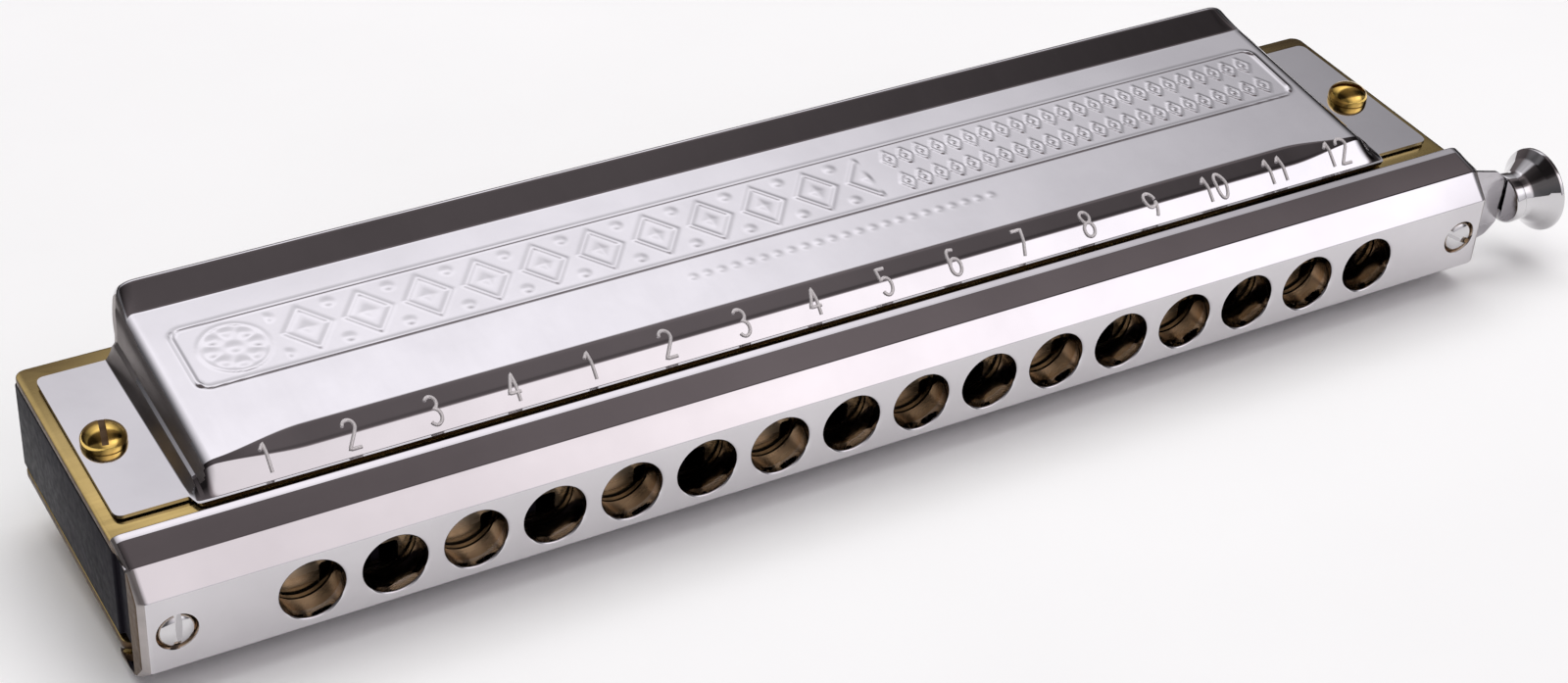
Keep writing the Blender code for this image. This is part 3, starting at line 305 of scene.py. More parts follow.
def make_materials():
    """Every material: its two tones, metallic share, roughness and grain, then waviness and specular."""
    settings = {
        "cover_chrome": ((0.60, 0.59, 0.61), (0.66, 0.65, 0.67), 1.0, (0.05, 0.11),
                         ((6.0, 1.0, 1.0), 160.0, 0.02, 0.00002), (28.0, 0.10, 0.0004)),
        # Painted shade: a darker chrome for the covers' end walls and the mouthpiece's rounded ends, standing
        # in for their darker reflections.
        "painted_shade_chrome": ((0.36, 0.33, 0.32), (0.50, 0.465, 0.455), 1.0, (0.42, 0.55),
                        ((1.0, 1.0, 6.0), 160.0, 0.06, 0.00003)),
        "mouthpiece_chrome": ((0.61, 0.59, 0.61), (0.665, 0.645, 0.665), 1.0, (0.04, 0.09),
                              (LENGTHWISE, 60.0, 0.02, 0.00002), (20.0, 0.05, 0.0003)),
        "turned_chrome": ((0.60, 0.59, 0.60), (0.68, 0.67, 0.68), 1.0, (0.03, 0.08),
                          (EVEN, 500.0, 0.02, 0.00002)),
        "plate_brass": ((0.46, 0.335, 0.12), (0.56, 0.42, 0.17), 1.0, (0.16, 0.30),
                        (LENGTHWISE, 70.0, 0.12, 0.00003)),
        "bolt_brass": ((0.78, 0.50, 0.10), (0.90, 0.62, 0.18), 1.0, (0.09, 0.20),
                       (EVEN, 700.0, 0.08, 0.00003)),
        "reed_brass": ((0.66, 0.45, 0.18), (0.80, 0.60, 0.30), 1.0, (0.20, 0.38),
                       ((14.0, 1.0, 14.0), 80.0, 0.12, 0.00002)),
        "slide_metal": ((0.50, 0.48, 0.50), (0.60, 0.58, 0.61), 1.0, (0.14, 0.30),
                        (LENGTHWISE, 90.0, 0.10, 0.00003)),
        # The slide's body is darker and browner than its tab, which has slide_metal.
        "brown_slide_metal": ((0.30, 0.24, 0.17), (0.48, 0.40, 0.30), 1.0, (0.18, 0.36),
                        (LENGTHWISE, 90.0, 0.14, 0.00003)),
        "cage_metal": ((0.20, 0.145, 0.09), (0.34, 0.26, 0.17), 1.0, (0.14, 0.30),
                       (LENGTHWISE, 90.0, 0.10, 0.00003)),
        "bore_metal": ((0.34, 0.26, 0.18), (0.68, 0.57, 0.46), 1.0, (0.08, 0.20),
                       ((1.0, 8.0, 1.0), 120.0, 0.25, 0.00006)),
        "number_satin": ((0.62, 0.585, 0.59), (0.74, 0.70, 0.705), 0.35, (0.30, 0.44),
                         (EVEN, 400.0, 0.08, 0.00003)),
        "comb_plastic": ((0.008, 0.007, 0.011), (0.016, 0.014, 0.021), 0.0, (0.42, 0.60),
                         (EVEN, 900.0, 0.15, 0.00005), None, 0.07),
        # Painted shade: dark brown for the sides of the reed plates, the covers' front edges, the
        # mouthpiece's flat ends and the floors of the bolt slots.
        "painted_shade_brown": ((0.07, 0.045, 0.03), (0.14, 0.09, 0.05), 1.0, (0.35, 0.55),
                       (LENGTHWISE, 90.0, 0.20, 0.00004)),
        "spring_wire": ((0.40, 0.40, 0.42), (0.55, 0.55, 0.57), 1.0, (0.20, 0.34),
                        (EVEN, 900.0, 0.10, 0.00002)),
        "bumper_rubber": ((0.020, 0.020, 0.020), (0.040, 0.038, 0.036), 0.0, (0.70, 0.88),
                          (EVEN, 1200.0, 0.30, 0.00005), None, 0.3),
        "valve_film": ((0.74, 0.72, 0.66), (0.86, 0.85, 0.80), 0.0, (0.24, 0.40),
                       ((1.0, 6.0, 1.0), 300.0, 0.10, 0.00002), None, 0.5),
    }
    return {name: surface_material(name, *values) for name, values in settings.items()}


# Mesh helpers

def rounded_path(corners, steps):
    """Points along a polyline whose corners (x, y, radius) are replaced by arcs."""
    points = []
    for place, (x, y, radius) in enumerate(corners):
        corner = Vector((x, y))
        if radius == 0 or place in (0, len(corners) - 1):
            points += [corner] if radius == 0 else [corner.copy() for _ in range(steps + 1)]
            continue
        before = (Vector(corners[place - 1][:2]) - corner).normalized()
        after = (Vector(corners[place + 1][:2]) - corner).normalized()
        half_angle = before.angle(after) / 2
        centre = corner + (before + after).normalized() * radius / math.sin(half_angle)
        start = corner + before * radius / math.tan(half_angle) - centre
        turn = start.angle_signed(corner + after * radius / math.tan(half_angle) - centre)
        for step in range(steps + 1):
            angle = -turn * step / steps
            points.append(centre + Vector((
                start.x * math.cos(angle) - start.y * math.sin(angle),
                start.x * math.sin(angle) + start.y * math.cos(angle),
            )))
    return points


def spaced_path(points, longest):
    """The same path with extra points, so that no step is longer than the given one."""
    spaced = [points[0]]
    for before, after in zip(points, points[1:]):
        pieces = max(1, math.ceil((after - before).length / longest))
        spaced += [before.lerp(after, piece / pieces) for piece in range(1, pieces + 1)]
    return spaced


def add_box(shape, x_range, y_range, z_range):
    corners = [shape.verts.new((x, y, z)) for x in x_range for y in y_range for z in z_range]
    for face in ((0, 1, 3, 2), (4, 6, 7, 5), (0, 4, 5, 1), (2, 3, 7, 6), (0, 2, 6, 4), (1, 5, 7, 3)):
        shape.faces.new([corners[corner] for corner in face])


def placed(along, across, axis):
    """A point given by its distance along an axis and its two other coordinates, in order."""
    first, second = across
    return {"X": (along, first, second), "Y": (first, along, second), "Z": (first, second, along)}[axis]


def join_rings(shape, rings):
    """Skin from ring to ring, with flat ends. A ring of one point makes a tip."""
    sides = max(len(ring) for ring in rings)
    for ring, following in zip(rings, rings[1:]):
        for side in range(sides):
            other = (side + 1) % sides
            corners = [ring[side % len(ring)], ring[other % len(ring)]]
            corners += [following[other % len(following)], following[side % len(following)]]
            shape.faces.new(list(dict.fromkeys(corners)))
    for ring in (rings[0][::-1], rings[-1]):
        if len(ring) > 1:
            shape.faces.new(ring)


def add_prism(shape, outline, axis, start, end):
    rings = []
    for level in (start, end):
        rings.append([shape.verts.new(placed(level, point, axis)) for point in outline])
    join_rings(shape, rings)


def around(centre, radius, count, sides):
    """The first points of a circle that is walked in so many equal steps."""
    angles = [2 * math.pi * side / sides for side in range(count)]
    return [(centre[0] + radius * math.cos(angle), centre[1] + radius * math.sin(angle)) for angle in angles]


def add_turned(shape, profile, axis, centre, sides):
    """A turned solid: the profile holds (distance along the axis, radius) from end to end."""
    rings = []
    for along, radius in profile:
        points = around(centre, radius, 1 if radius == 0 else sides, sides)
        rings.append([shape.verts.new(placed(along, point, axis)) for point in points])
    join_rings(shape, rings)


def add_bore(shape, span, radius, axis, centre, sides):
    """A straight round bore between two places along its axis."""
    add_turned(shape, [(end, radius) for end in span], axis, centre, sides)


def add_strip(shape, x, sections):
    """A thin tapering strip: each section across it is (y, half width, near z, far z)."""
    rings = []
    for y, half, near, far in sections:
        corners = ((x - half, y, near), (x + half, y, near), (x + half, y, far), (x - half, y, far))
        rings.append([shape.verts.new(corner) for corner in corners])
    join_rings(shape, rings)


def add_tube(shape, route, radius, sides):
    """A round wire along a route of points, with flat ends."""
    rings = []
    for place, point in enumerate(route):
        along = (route[min(place + 1, len(route) - 1)] - route[max(place - 1, 0)]).normalized()
        side_way = along.cross(Vector((0.0, 0.0, 1.0)))
        if side_way.length < 0.2:
            side_way = along.cross(Vector((0.0, 1.0, 0.0)))
        side_way.normalize()
        up_way = side_way.cross(along)
        ring = []
        for across, up in around((0.0, 0.0), radius, sides, sides):
            ring.append(shape.verts.new(point + side_way * across + up_way * up))
        rings.append(ring)
    join_rings(shape, rings)


def mesh_from(shape, name):
    mesh = bpy.data.meshes.new(name)
    bmesh.ops.recalc_face_normals(shape, faces=shape.faces)
    shape.to_mesh(mesh)
    shape.free()
    return mesh


def link_object(name, data):
    item = bpy.data.objects.new(name, data)
    bpy.context.scene.collection.objects.link(item)
    return item


def apply_modifiers(item):
    """Replaces an object's mesh by its modified mesh."""
    bpy.context.view_layer.update()
    graph = bpy.context.evaluated_depsgraph_get()
    mesh = bpy.data.meshes.new_from_object(item.evaluated_get(graph))
    item.modifiers.clear()
    item.data = mesh


def cut_away(item, cutter_shape):
    """Cuts a closed shape out of an object, and leaves no helper behind."""
    helper = link_object("cutter", mesh_from(cutter_shape, "cutter"))
    modifier = item.modifiers.new("cut", "BOOLEAN")
    modifier.operation = "DIFFERENCE"
    modifier.solver = "EXACT"
    modifier.object = helper
    apply_modifiers(item)
    bpy.data.objects.remove(helper, do_unlink=True)


def bevel_edges(item, width, angle=50):
    modifier = item.modifiers.new("bevel", "BEVEL")
    modifier.width = width
    modifier.segments = 2
    modifier.limit_method = "ANGLE"
    modifier.angle_limit = math.radians(angle)
    apply_modifiers(item)


def shade(item, material, sharp):
    """One smooth material with sharp edges from an angle in degrees, laid in the frame."""
    item.data.materials.clear()
    item.data.materials.append(material)
    item.data.shade_smooth()
    item.data.set_sharp_from_angle(angle=math.radians(sharp))
    item.data.transform(PLACE)


def finish_piece(item, material, nodes=(), body="harmonica", sharp=32):
    """Shades a piece, ties it to its body and hides the CAD nodes that it stands for."""
    shade(item, material, sharp)
    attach(item, body)
    if nodes:
        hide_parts(*nodes)


def make_piece(name, shape, material, nodes=(), body="harmonica", cutter=None, bevel=0.0, sharp=32):
    item = link_object(name, mesh_from(shape, name))
    if bevel:
        bevel_edges(item, bevel)
    if cutter:
        cut_away(item, cutter)
    finish_piece(item, material, nodes, body, sharp)
    return item


def add_material_where(item, material, chosen):
    """Gives a second material to the faces that a test picks by centre and normal."""
    item.data.materials.append(material)
    slot = len(item.data.materials) - 1
    back = PLACE.inverted()
    turn = back.to_3x3()
    for face in item.data.polygons:
        if chosen(back @ face.center, turn @ face.normal):
            face.material_index = slot


def past(span, extra=0.3 * MM):
    return span[0] - extra, span[1] + extra


def mirrored(half):
    """Corners (x or y, height, radius) followed by the same corners below, in reverse."""
    return half + [(place, -height, radius) for place, height, radius in reversed(half)]


def flat_outline(front, half, steps):
    """Rounded outline in (x, y) of a plate that is the same on both sides, from the middle of its front."""
    middle = [(0.0, front, 0.0)]
    other_half = [(-x, y, radius) for x, y, radius in reversed(half)]
    return rounded_path(middle + half + other_half + middle, steps)[:-1]


def add_screw_holes(cutter, y_range, sides):
    for x in (-SCREW_X, SCREW_X):
        add_bore(cutter, y_range, SCREW_HOLE_RADIUS, "Y", (x, 0.0), sides)


def add_bolt_holes(cutter, z_range, sides):
    for x in (-BOLT_X, BOLT_X):
        add_bore(cutter, z_range, BOLT_HOLE_RADIUS, "Z", (x, BOLT_Y), sides)


def plate_screw_places():
    shares = [(place + 0.5) / PLATE_SCREW_COUNT for place in range(PLATE_SCREW_COUNT)]
    return [BOLT_X * (2 * share - 1) for share in shares]


def add_plate_screw_holes(cutter, z_range):
    for x in plate_screw_places():
        add_bore(cutter, z_range, PLATE_SCREW_HOLE_RADIUS, "Z", (x, PLATE_SCREW_Y), 16)


# Mouthpiece and the slide behind it

def mouthpiece_outline():
    half = [
        (MOUTHPIECE_WALL, CHANNEL_HALF_HEIGHT, 0.0),
        (LIP_DEPTH, CHANNEL_HALF_HEIGHT, 0.1 * MM),
        (LIP_DEPTH, LIP_TOP + 0.03 * MM, 0.25 * MM),
        (BROW_END, LIP_TOP - 0.13 * MM, 0.2 * MM),
        (*CHAMFER_END, 0.4 * MM),
        (0.0, FACE_HALF_HEIGHT, 0.4 * MM),
    ]
    return rounded_path(mirrored(half), 6)


def mouthpiece_stations():
    """Places along X with the depth that the rounded end takes off there."""
    steps = 8
    stations = []
    for step in range(steps + 1):
        angle = math.pi / 2 * step / steps
        along = MOUTHPIECE_HALF - END_ROUNDING * (1 - math.sin(angle))
        stations.append((along, END_ROUNDING * (1 - math.cos(angle))))
    return [(-x, inset) for x, inset in reversed(stations)] + stations


def build_mouthpiece(materials):
    shape = bmesh.new()
    rings = []
    for x, inset in mouthpiece_stations():
        ring = []
        for depth, height in mouthpiece_outline():
            drawn_in = inset * max(0.0, 1 - depth / MOUTHPIECE_WALL)
            outside = abs(height) > CHANNEL_HALF_HEIGHT + 0.05 * MM or depth < MOUTHPIECE_WALL - 0.1 * MM
            lowered = math.copysign(min(abs(height), END_DROP * inset), height) if outside else 0.0
            ring.append(shape.verts.new((x, depth + drawn_in, height - lowered)))
        rings.append(ring)
    join_rings(shape, rings)
    cutter = bmesh.new()
    behind = MOUTHPIECE_WALL + HOLE_RIM
    hole = [(-0.4 * HOLE_RIM, HOLE_RADIUS + 1.45 * HOLE_RIM)]
    for angle in (62, 47, 32, 16, 0):
        turned = math.radians(angle)
        hole.append((HOLE_RIM * (1 - math.sin(turned)), HOLE_RADIUS + HOLE_RIM * (1 - math.cos(turned))))
    hole += [(PLATED_DEPTH, HOLE_RADIUS), (behind, HOLE_RADIUS)]
    for index in range(HOLE_COUNT):
        add_turned(cutter, hole, "Y", (hole_x(index), 0.0), 64)
    countersink = (
        (-HOLE_RIM, SCREW_HEAD_RADIUS + 0.45 * MM),
        (0.1 * MM, SCREW_HEAD_RADIUS + 0.30 * MM),
        (0.7 * MM, SCREW_HEAD_RADIUS + 0.15 * MM),
        (1.7 * MM, SCREW_HOLE_RADIUS),
        (behind, SCREW_HOLE_RADIUS),
    )
    for x in (-SCREW_X, SCREW_X):
        add_turned(cutter, countersink, "Y", (x, 0.0), 40)
    item = make_piece("mouthpiece_shell", shape, materials["mouthpiece_chrome"], ["mouthpiece"],
                      cutter=cutter, sharp=28)
    add_material_where(item, materials["bore_metal"], in_bore)
    # Painted shade: the rounded ends get the darker chrome, the flat end faces the dark brown.
    add_material_where(item, materials["painted_shade_chrome"], on_rounded_end)
    add_material_where(item, materials["painted_shade_brown"], faces_sideways)


def in_bore(centre, normal):
    """Walls of the mouth holes behind their plated mouths, and the screws' countersinks."""
    for index in range(HOLE_COUNT):
        reach = math.hypot(centre.x - hole_x(index), centre.z)
        if reach < HOLE_RADIUS + 0.02 * MM and centre.y > PLATED_DEPTH and abs(normal.y) < 0.5:
            return True
    reach = math.hypot(abs(centre.x) - SCREW_X, centre.z)
    return reach < SCREW_HEAD_RADIUS + 0.32 * MM and centre.y > 0.06 * MM


# Painted shade: the mouthpiece's rounded ends, which get the darker chrome.
def on_rounded_end(centre, normal):
    return abs(normal.x) > 0.35 and abs(centre.x) > MOUTHPIECE_HALF - END_ROUNDING


# Painted shade: the mouthpiece's flat end faces, which get the dark brown.
def faces_sideways(centre, normal):
    return abs(normal.x) > 0.9 and abs(centre.x) > MOUTHPIECE_HALF - 0.1 * MM


def build_cage(material):
    shape = bmesh.new()
    inner = CAGE_HALF_HEIGHT - CAGE_FOLD
    front, back = CAGE_FRONT
    fold = SLIDE_SHEET[1]
    half = [(front, CAGE_HALF_HEIGHT), (fold, CAGE_HALF_HEIGHT), (fold, inner), (back, inner)]
    outline = half + [(y, -z) for y, z in reversed(half)]
    add_prism(shape, outline, "X", -CAGE_HALF_LENGTH, CAGE_HALF_LENGTH)
    cutter = bmesh.new()
    through = past(CAGE_FRONT)
    for index in range(HOLE_COUNT):
        add_bore(cutter, through, HOLE_RADIUS, "Y", (hole_x(index), 0.0), 48)
    add_screw_holes(cutter, through, 24)
    make_piece("cage_front", shape, material, ["slide_cage_front_plate"],
               cutter=cutter, bevel=0.1 * MM)


def add_window(shape, x, row, y_range):
    """A window with rounded corners in the upper or lower row."""
    z = row * (WINDOW_LIFT + WINDOW_HEIGHT / 2)
    steps = 3
    outline = []
    for quarter, (sign_x, sign_z) in enumerate(((1, 1), (-1, 1), (-1, -1), (1, -1))):
        centre_x = x + sign_x * (WINDOW_WIDTH / 2 - WINDOW_CORNER)
        centre_z = z + sign_z * (WINDOW_HEIGHT / 2 - WINDOW_CORNER)
        for step in range(steps + 1):
            angle = math.pi / 2 * (quarter + step / steps)
            across = WINDOW_CORNER * math.cos(angle)
            outline.append((centre_x + across, centre_z + WINDOW_CORNER * math.sin(angle)))
    add_prism(shape, outline, "Y", *y_range)


def build_back_plate(material):
    shape = bmesh.new()
    add_box(shape, (-CAGE_HALF_LENGTH, CAGE_HALF_LENGTH), BACK_PLATE, (-CAGE_HALF_HEIGHT, CAGE_HALF_HEIGHT))
    cutter = bmesh.new()
    through = past(BACK_PLATE)
    for index in range(HOLE_COUNT):
        for row in (-1, 1):
            add_window(cutter, hole_x(index), row, through)
    add_screw_holes(cutter, through, 24)
    tip_x, tip_z = SPRING_TIP
    room = 0.7 * MM
    add_box(cutter, (tip_x - SLIDE_TRAVEL - room, tip_x + room), through, (tip_z - room, tip_z + room))
    make_piece("back_plate", shape, material, ["slide_back_plate"],
               cutter=cutter, bevel=0.1 * MM)


def slide_outline():
    """Face of the slide in (x, z): straight body, tapered tab and tongue, rounded corners."""
    half = [
        (SLIDE_LEFT, SLIDE_HALF_HEIGHT, 0.8 * MM),
        (MOUTHPIECE_HALF + 0.3 * MM, SLIDE_HALF_HEIGHT, 2.0 * MM),
        (TAB_END - 1.6 * MM, TAB_HALF_HEIGHT, 1.4 * MM),
        (TAB_END, TAB_HALF_HEIGHT - 1.6 * MM, 1.0 * MM),
        (TAB_END, TONGUE_HALF_HEIGHT, 0.0),
        (TAB_END + TONGUE_LENGTH, TONGUE_HALF_HEIGHT, 0.0),
    ]
    # The loop starts in the middle of the left edge, so that each corner is rounded.
    left_middle = [(SLIDE_LEFT, 0.0, 0.0)]
    return rounded_path(left_middle + mirrored(half) + left_middle, 4)[:-1]


def build_slide(materials):
    shape = bmesh.new()
    add_prism(shape, slide_outline(), "Y", *SLIDE_SHEET)
    cutter = bmesh.new()
    through = past(SLIDE_SHEET)
    for index in range(HOLE_COUNT):
        row_at_rest = 1 if index % 2 == 0 else -1
        add_window(cutter, hole_x(index), row_at_rest, through)
        add_window(cutter, hole_x(index) + SLIDE_TRAVEL, -row_at_rest, through)
    slot = SLIDE_SLOT_HALF
    for start, end in ((SCREW_X - slot, SCREW_X), (SLIDE_LEFT - slot, -SCREW_X)):
        add_box(cutter, (start, end + slot + SLIDE_TRAVEL), through, (-slot, slot))
    add_bore(cutter, through, SPRING_WIRE + 0.3 * MM, "Y", SPRING_TIP, 20)
    # The slide's body gets the darker brown metal, its tab the lighter grey one.
    item = make_piece("slide_sheet", shape, materials["brown_slide_metal"], ["slide"], body="slide",
                      cutter=cutter, bevel=0.08 * MM)
    add_material_where(item, materials["slide_metal"], on_tab)


def on_tab(centre, normal):
    return centre.x > SCREW_X + 0.5 * MM


def build_button(material):
    """Trumpet-shaped button: collar, waist, flare, rolled rim and a slightly domed face."""
    # Distance from the tab's end, radius and rounding of each corner, in millimetres
    corners = (
        (0.0, 0.0, 0.0),
        (0.0, 3.3, 0.25),
        (1.5, 3.3, 0.2),
        (1.65, 3.05, 0.12),
        (2.7, 3.15, 0.9),
        (4.5, 4.45, 1.6),
        (5.5, 5.6, 0.3),
        (6.0, 5.65, 0.25),
        (6.35, 4.9, 0.3),
        (6.6, 2.4, 2.0),
        (6.7, 0.0, 0.0),
    )
    gap = 0.3 * MM
    start = TAB_END + gap
    path = rounded_path([(start + along * MM, radius * MM, fold * MM) for along, radius, fold in corners], 5)
    shape = bmesh.new()
    add_turned(shape, [tuple(point) for point in path], "X", (SLIDE_MIDDLE_Y, 0.0), 72)
    cutter = bmesh.new()
    half_slot = TONGUE_HALF_HEIGHT + gap
    add_box(cutter, (TAB_END, TAB_END + TONGUE_LENGTH + gap), past(SLIDE_SHEET), (-half_slot, half_slot))
    make_piece("push_button", shape, material, ["slide_button"], body="slide",
               cutter=cutter, sharp=40)


def build_bumpers(material):
    low, high = SLIDE_SHEET
    edge = 0.1 * MM
    inner, rim, outer = 1.25 * MM, 1.6 * MM, 1.7 * MM
    front = ((low, inner), (low, rim), (low + edge, outer))
    back = ((high - edge, outer), (high, rim), (high, inner))
    for side, x in (("left", -SCREW_X), ("right", SCREW_X)):
        shape = bmesh.new()
        add_turned(shape, front + back, "Y", (x, 0.0), 32)
        cutter = bmesh.new()
        add_bore(cutter, past(SLIDE_SHEET, MM), SCREW_HOLE_RADIUS, "Y", (x, 0.0), 32)
        make_piece("bumper_sleeve_" + side, shape, material, ["slide_bumper_" + side],
                   cutter=cutter)


def build_spring(material):
    """Hairpin wire in the comb's pocket, with its tip reaching to the slide's hole."""
    tip_x, tip_z = SPRING_TIP
    bend = [(1.0 * MM, -1.2 * MM), (0.1 * MM, -0.4 * MM), (0.1 * MM, 0.4 * MM), (1.0 * MM, 1.2 * MM)]
    corners = [
        (tip_x, SPRING_LEG_END, SPRING_LEG_Z),
        (tip_x, SPRING_Y + 0.6 * MM, SPRING_LEG_Z),
        (tip_x - 1.0 * MM, SPRING_Y, SPRING_LEG_Z + 0.5 * MM),
        *[(SPRING_BEND_X + across, SPRING_Y, z) for across, z in bend],
        (tip_x - 1.0 * MM, SPRING_Y, tip_z - 0.4 * MM),
        (tip_x - 0.1 * MM, SPRING_Y - 0.4 * MM, tip_z),
        (tip_x, SPRING_Y - 1.1 * MM, tip_z),
        (tip_x, SLIDE_SHEET[0], tip_z),
    ]
    corners = [Vector(corner) for corner in corners]
    route = []
    for before, after in zip(corners, corners[1:]):
        route += [before.lerp(after, step / 6) for step in range(6)]
    route.append(corners[-1])
    for _ in range(3):
        inner = [(a + 2 * b + c) / 4 for a, b, c in zip(route, route[1:], route[2:])]
        route = [route[0]] + inner + [route[-1]]
    shape = bmesh.new()
    add_tube(shape, route, SPRING_WIRE, 12)
    item = link_object("hairpin_spring", mesh_from(shape, "hairpin_spring"))
    shade(item, material, 50)
    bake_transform(item)
    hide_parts("slide_spring")


# Comb, reed plates and reeds

def chamber_centres(index):
    return hole_x(index) - CHAMBER_SPACING / 2, hole_x(index) + CHAMBER_SPACING / 2


def build_comb(material):
    shoulder = COMB_FRONT + 2.2 * MM
    outline = flat_outline(COMB_FRONT, [
        (COMB_HALF - COMB_STEP, COMB_FRONT, 0.3 * MM),
        (COMB_HALF - COMB_STEP, shoulder, 0.0),
        (COMB_HALF, shoulder, 0.3 * MM),
        (COMB_HALF, COMB_BACK, 0.6 * MM),
    ], 4)
    shape = bmesh.new()
    add_prism(shape, outline, "Z", -COMB_HALF_THICKNESS, COMB_HALF_THICKNESS)
    item = link_object("comb_body", mesh_from(shape, "comb_body"))
    bevel_edges(item, 0.25 * MM, angle=60)
    cutter = bmesh.new()
    top = COMB_HALF_THICKNESS + 0.3 * MM
    before_front = COMB_FRONT - 0.5 * MM
    for index in range(HOLE_COUNT):
        y_range = (before_front, REED_START + reed_length(index) + 1.8 * MM)
        for x in chamber_centres(index):
            for z_range in ((WINDOW_LIFT, top), (-top, -WINDOW_LIFT)):
                add_box(cutter, (x - CHAMBER_WIDTH / 2, x + CHAMBER_WIDTH / 2), y_range, z_range)
    add_box(cutter, *SPRING_POCKET)
    cut_away(item, cutter)
    bores = bmesh.new()
    add_screw_holes(bores, (0.0, SCREW_END + 0.3 * MM), 20)
    add_bolt_holes(bores, (-top, top), 20)
    for side in (-1, 1):
        add_plate_screw_holes(bores, sorted((side * 3.7 * MM, side * top)))
    leg_place = (SPRING_TIP[0], SPRING_LEG_Z)
    leg_bore = (COMB_FRONT + 0.3 * MM, SPRING_LEG_END + 0.4 * MM)
    add_bore(bores, leg_bore, SPRING_WIRE + 0.3 * MM, "Y", leg_place, 16)
    cut_away(item, bores)
    finish_piece(item, material, ["comb"])


def add_reed(shape, x, side, outer, index):
    """One reed: a riveted pad and a tongue that thins and lifts a little towards its tip."""
    end = REED_START + reed_length(index)
    half_width = REED_WIDTH / 2
    if outer:
        out = side
        shoulder, tip = end + REED_SLOT_EXTRA + 0.3 * MM, REED_START + 0.6 * MM
        root = end + REED_SLOT_EXTRA + REED_PAD
        bottom = side * (PLATE_Z[1] + 0.3 * MM)
        top = bottom + out * 0.5 * MM
    else:
        out = -side
        shoulder, tip = REED_START - 0.3 * MM, end
        root = REED_START - REED_PAD
        bottom = side * (PLATE_Z[0] + 0.05 * MM)
        top = bottom + out * 0.55 * MM
    corner = 0.35 * MM
    inward = math.copysign(corner, shoulder - root)
    right = [(half_width, shoulder), (half_width, root + inward), (half_width - corner, root)]
    pad = [(x + across, y) for across, y in right] + [(x - across, y) for across, y in reversed(right)]
    add_prism(shape, pad, "Z", *sorted((bottom, top)))
    steps = 10
    sections = []
    for step in range(steps + 1):
        share = step / steps
        far = top + out * 0.10 * MM * share * share
        near = far - out * (0.25 - 0.12 * share) * MM
        sections.append((shoulder + (tip - shoulder) * share, half_width * (1 - 0.08 * share), near, far))
    add_strip(shape, x, sections)
    rise = out * 0.28 * MM
    rivet = (
        (top - out * 0.1 * MM, 0.62 * MM),
        (top, 0.62 * MM),
        (top + rise * 0.55, 0.56 * MM),
        (top + rise * 0.9, 0.34 * MM),
        (top + rise, 0.0),
    )
    add_turned(shape, rivet, "Z", (x, (root + shoulder) / 2), 20)


def build_reed_plate(name, side, materials):
    shape = bmesh.new()
    half = [(COMB_HALF, PLATE_FRONT, 1.2 * MM), (COMB_HALF, COMB_BACK, 1.4 * MM)]
    outline = flat_outline(PLATE_FRONT, half, 6)
    add_prism(shape, outline, "Z", *sorted((side * PLATE_Z[0], side * PLATE_Z[1])))
    item = link_object(name + "_brass_plate", mesh_from(shape, name + "_brass_plate"))
    bevel_edges(item, 0.16 * MM, angle=60)
    cutter = bmesh.new()
    through = sorted(side * z for z in past(PLATE_Z))
    half_slot = REED_WIDTH / 2 + 0.2 * MM
    for index in range(HOLE_COUNT):
        y_range = (REED_START, REED_START + reed_length(index) + REED_SLOT_EXTRA)
        for x in chamber_centres(index):
            add_box(cutter, (x - half_slot, x + half_slot), y_range, through)
    add_bolt_holes(cutter, through, 20)
    add_plate_screw_holes(cutter, through)
    cut_away(item, cutter)
    finish_piece(item, materials["plate_brass"], [name + "_reed_plate"])
    # Painted shade: the plate's sides are dark brown, and on the lower plate its bevels too.
    add_material_where(item, materials["painted_shade_brown"], on_upper_edge if side > 0 else on_lower_edge)
    inner = bmesh.new()
    for index in range(HOLE_COUNT):
        add_reed(inner, chamber_centres(index)[0], side, False, index)
    make_piece(name + "_inner_reeds", inner, materials["reed_brass"])
    for index in range(HOLE_COUNT):
        reed = bmesh.new()
        add_reed(reed, chamber_centres(index)[1], side, True, index)
        label = f"{index + 1:02d}"
        make_piece(f"{name}_outer_reed_{label}", reed, materials["reed_brass"],
                   [f"{name}_reed_{label}"])
        build_valve(f"{name}_valve_{label}", side, index, materials["valve_film"])


# Painted shade on the upper plate: its sides.
def on_upper_edge(centre, normal):
    return abs(normal.z) < 0.4


# Painted shade on the lower plate: its sides and bevels.
def on_lower_edge(centre, normal):
    return abs(normal.z) < 0.9


def build_valve(name, side, index, material):
    """Thin film strip over the inner reed's slot, glued at its rear end and curling up a little."""
    length = reed_length(index) + 2.4 * MM
    root = REED_START + reed_length(index) + 2.6 * MM
    steps = 12
    sections = []
    for step in range(steps + 1):
        share = step / steps
        low = PLATE_Z[1] + 0.06 * MM + 0.55 * MM * max(0.0, share - 0.25) ** 2
        half_width = VALVE_HALF_WIDTH * (1.0 if 0 < step < steps else 0.8)
        sections.append((root - length * share, half_width, side * low, side * (low + 0.12 * MM)))
    shape = bmesh.new()
    add_strip(shape, chamber_centres(index)[0], sections)
    make_piece(name, shape, material)


# Covers

def plateau_z(y):
    return PLATEAU_START[1] + (y - PLATEAU_START[0]) * PLATEAU_SLOPE


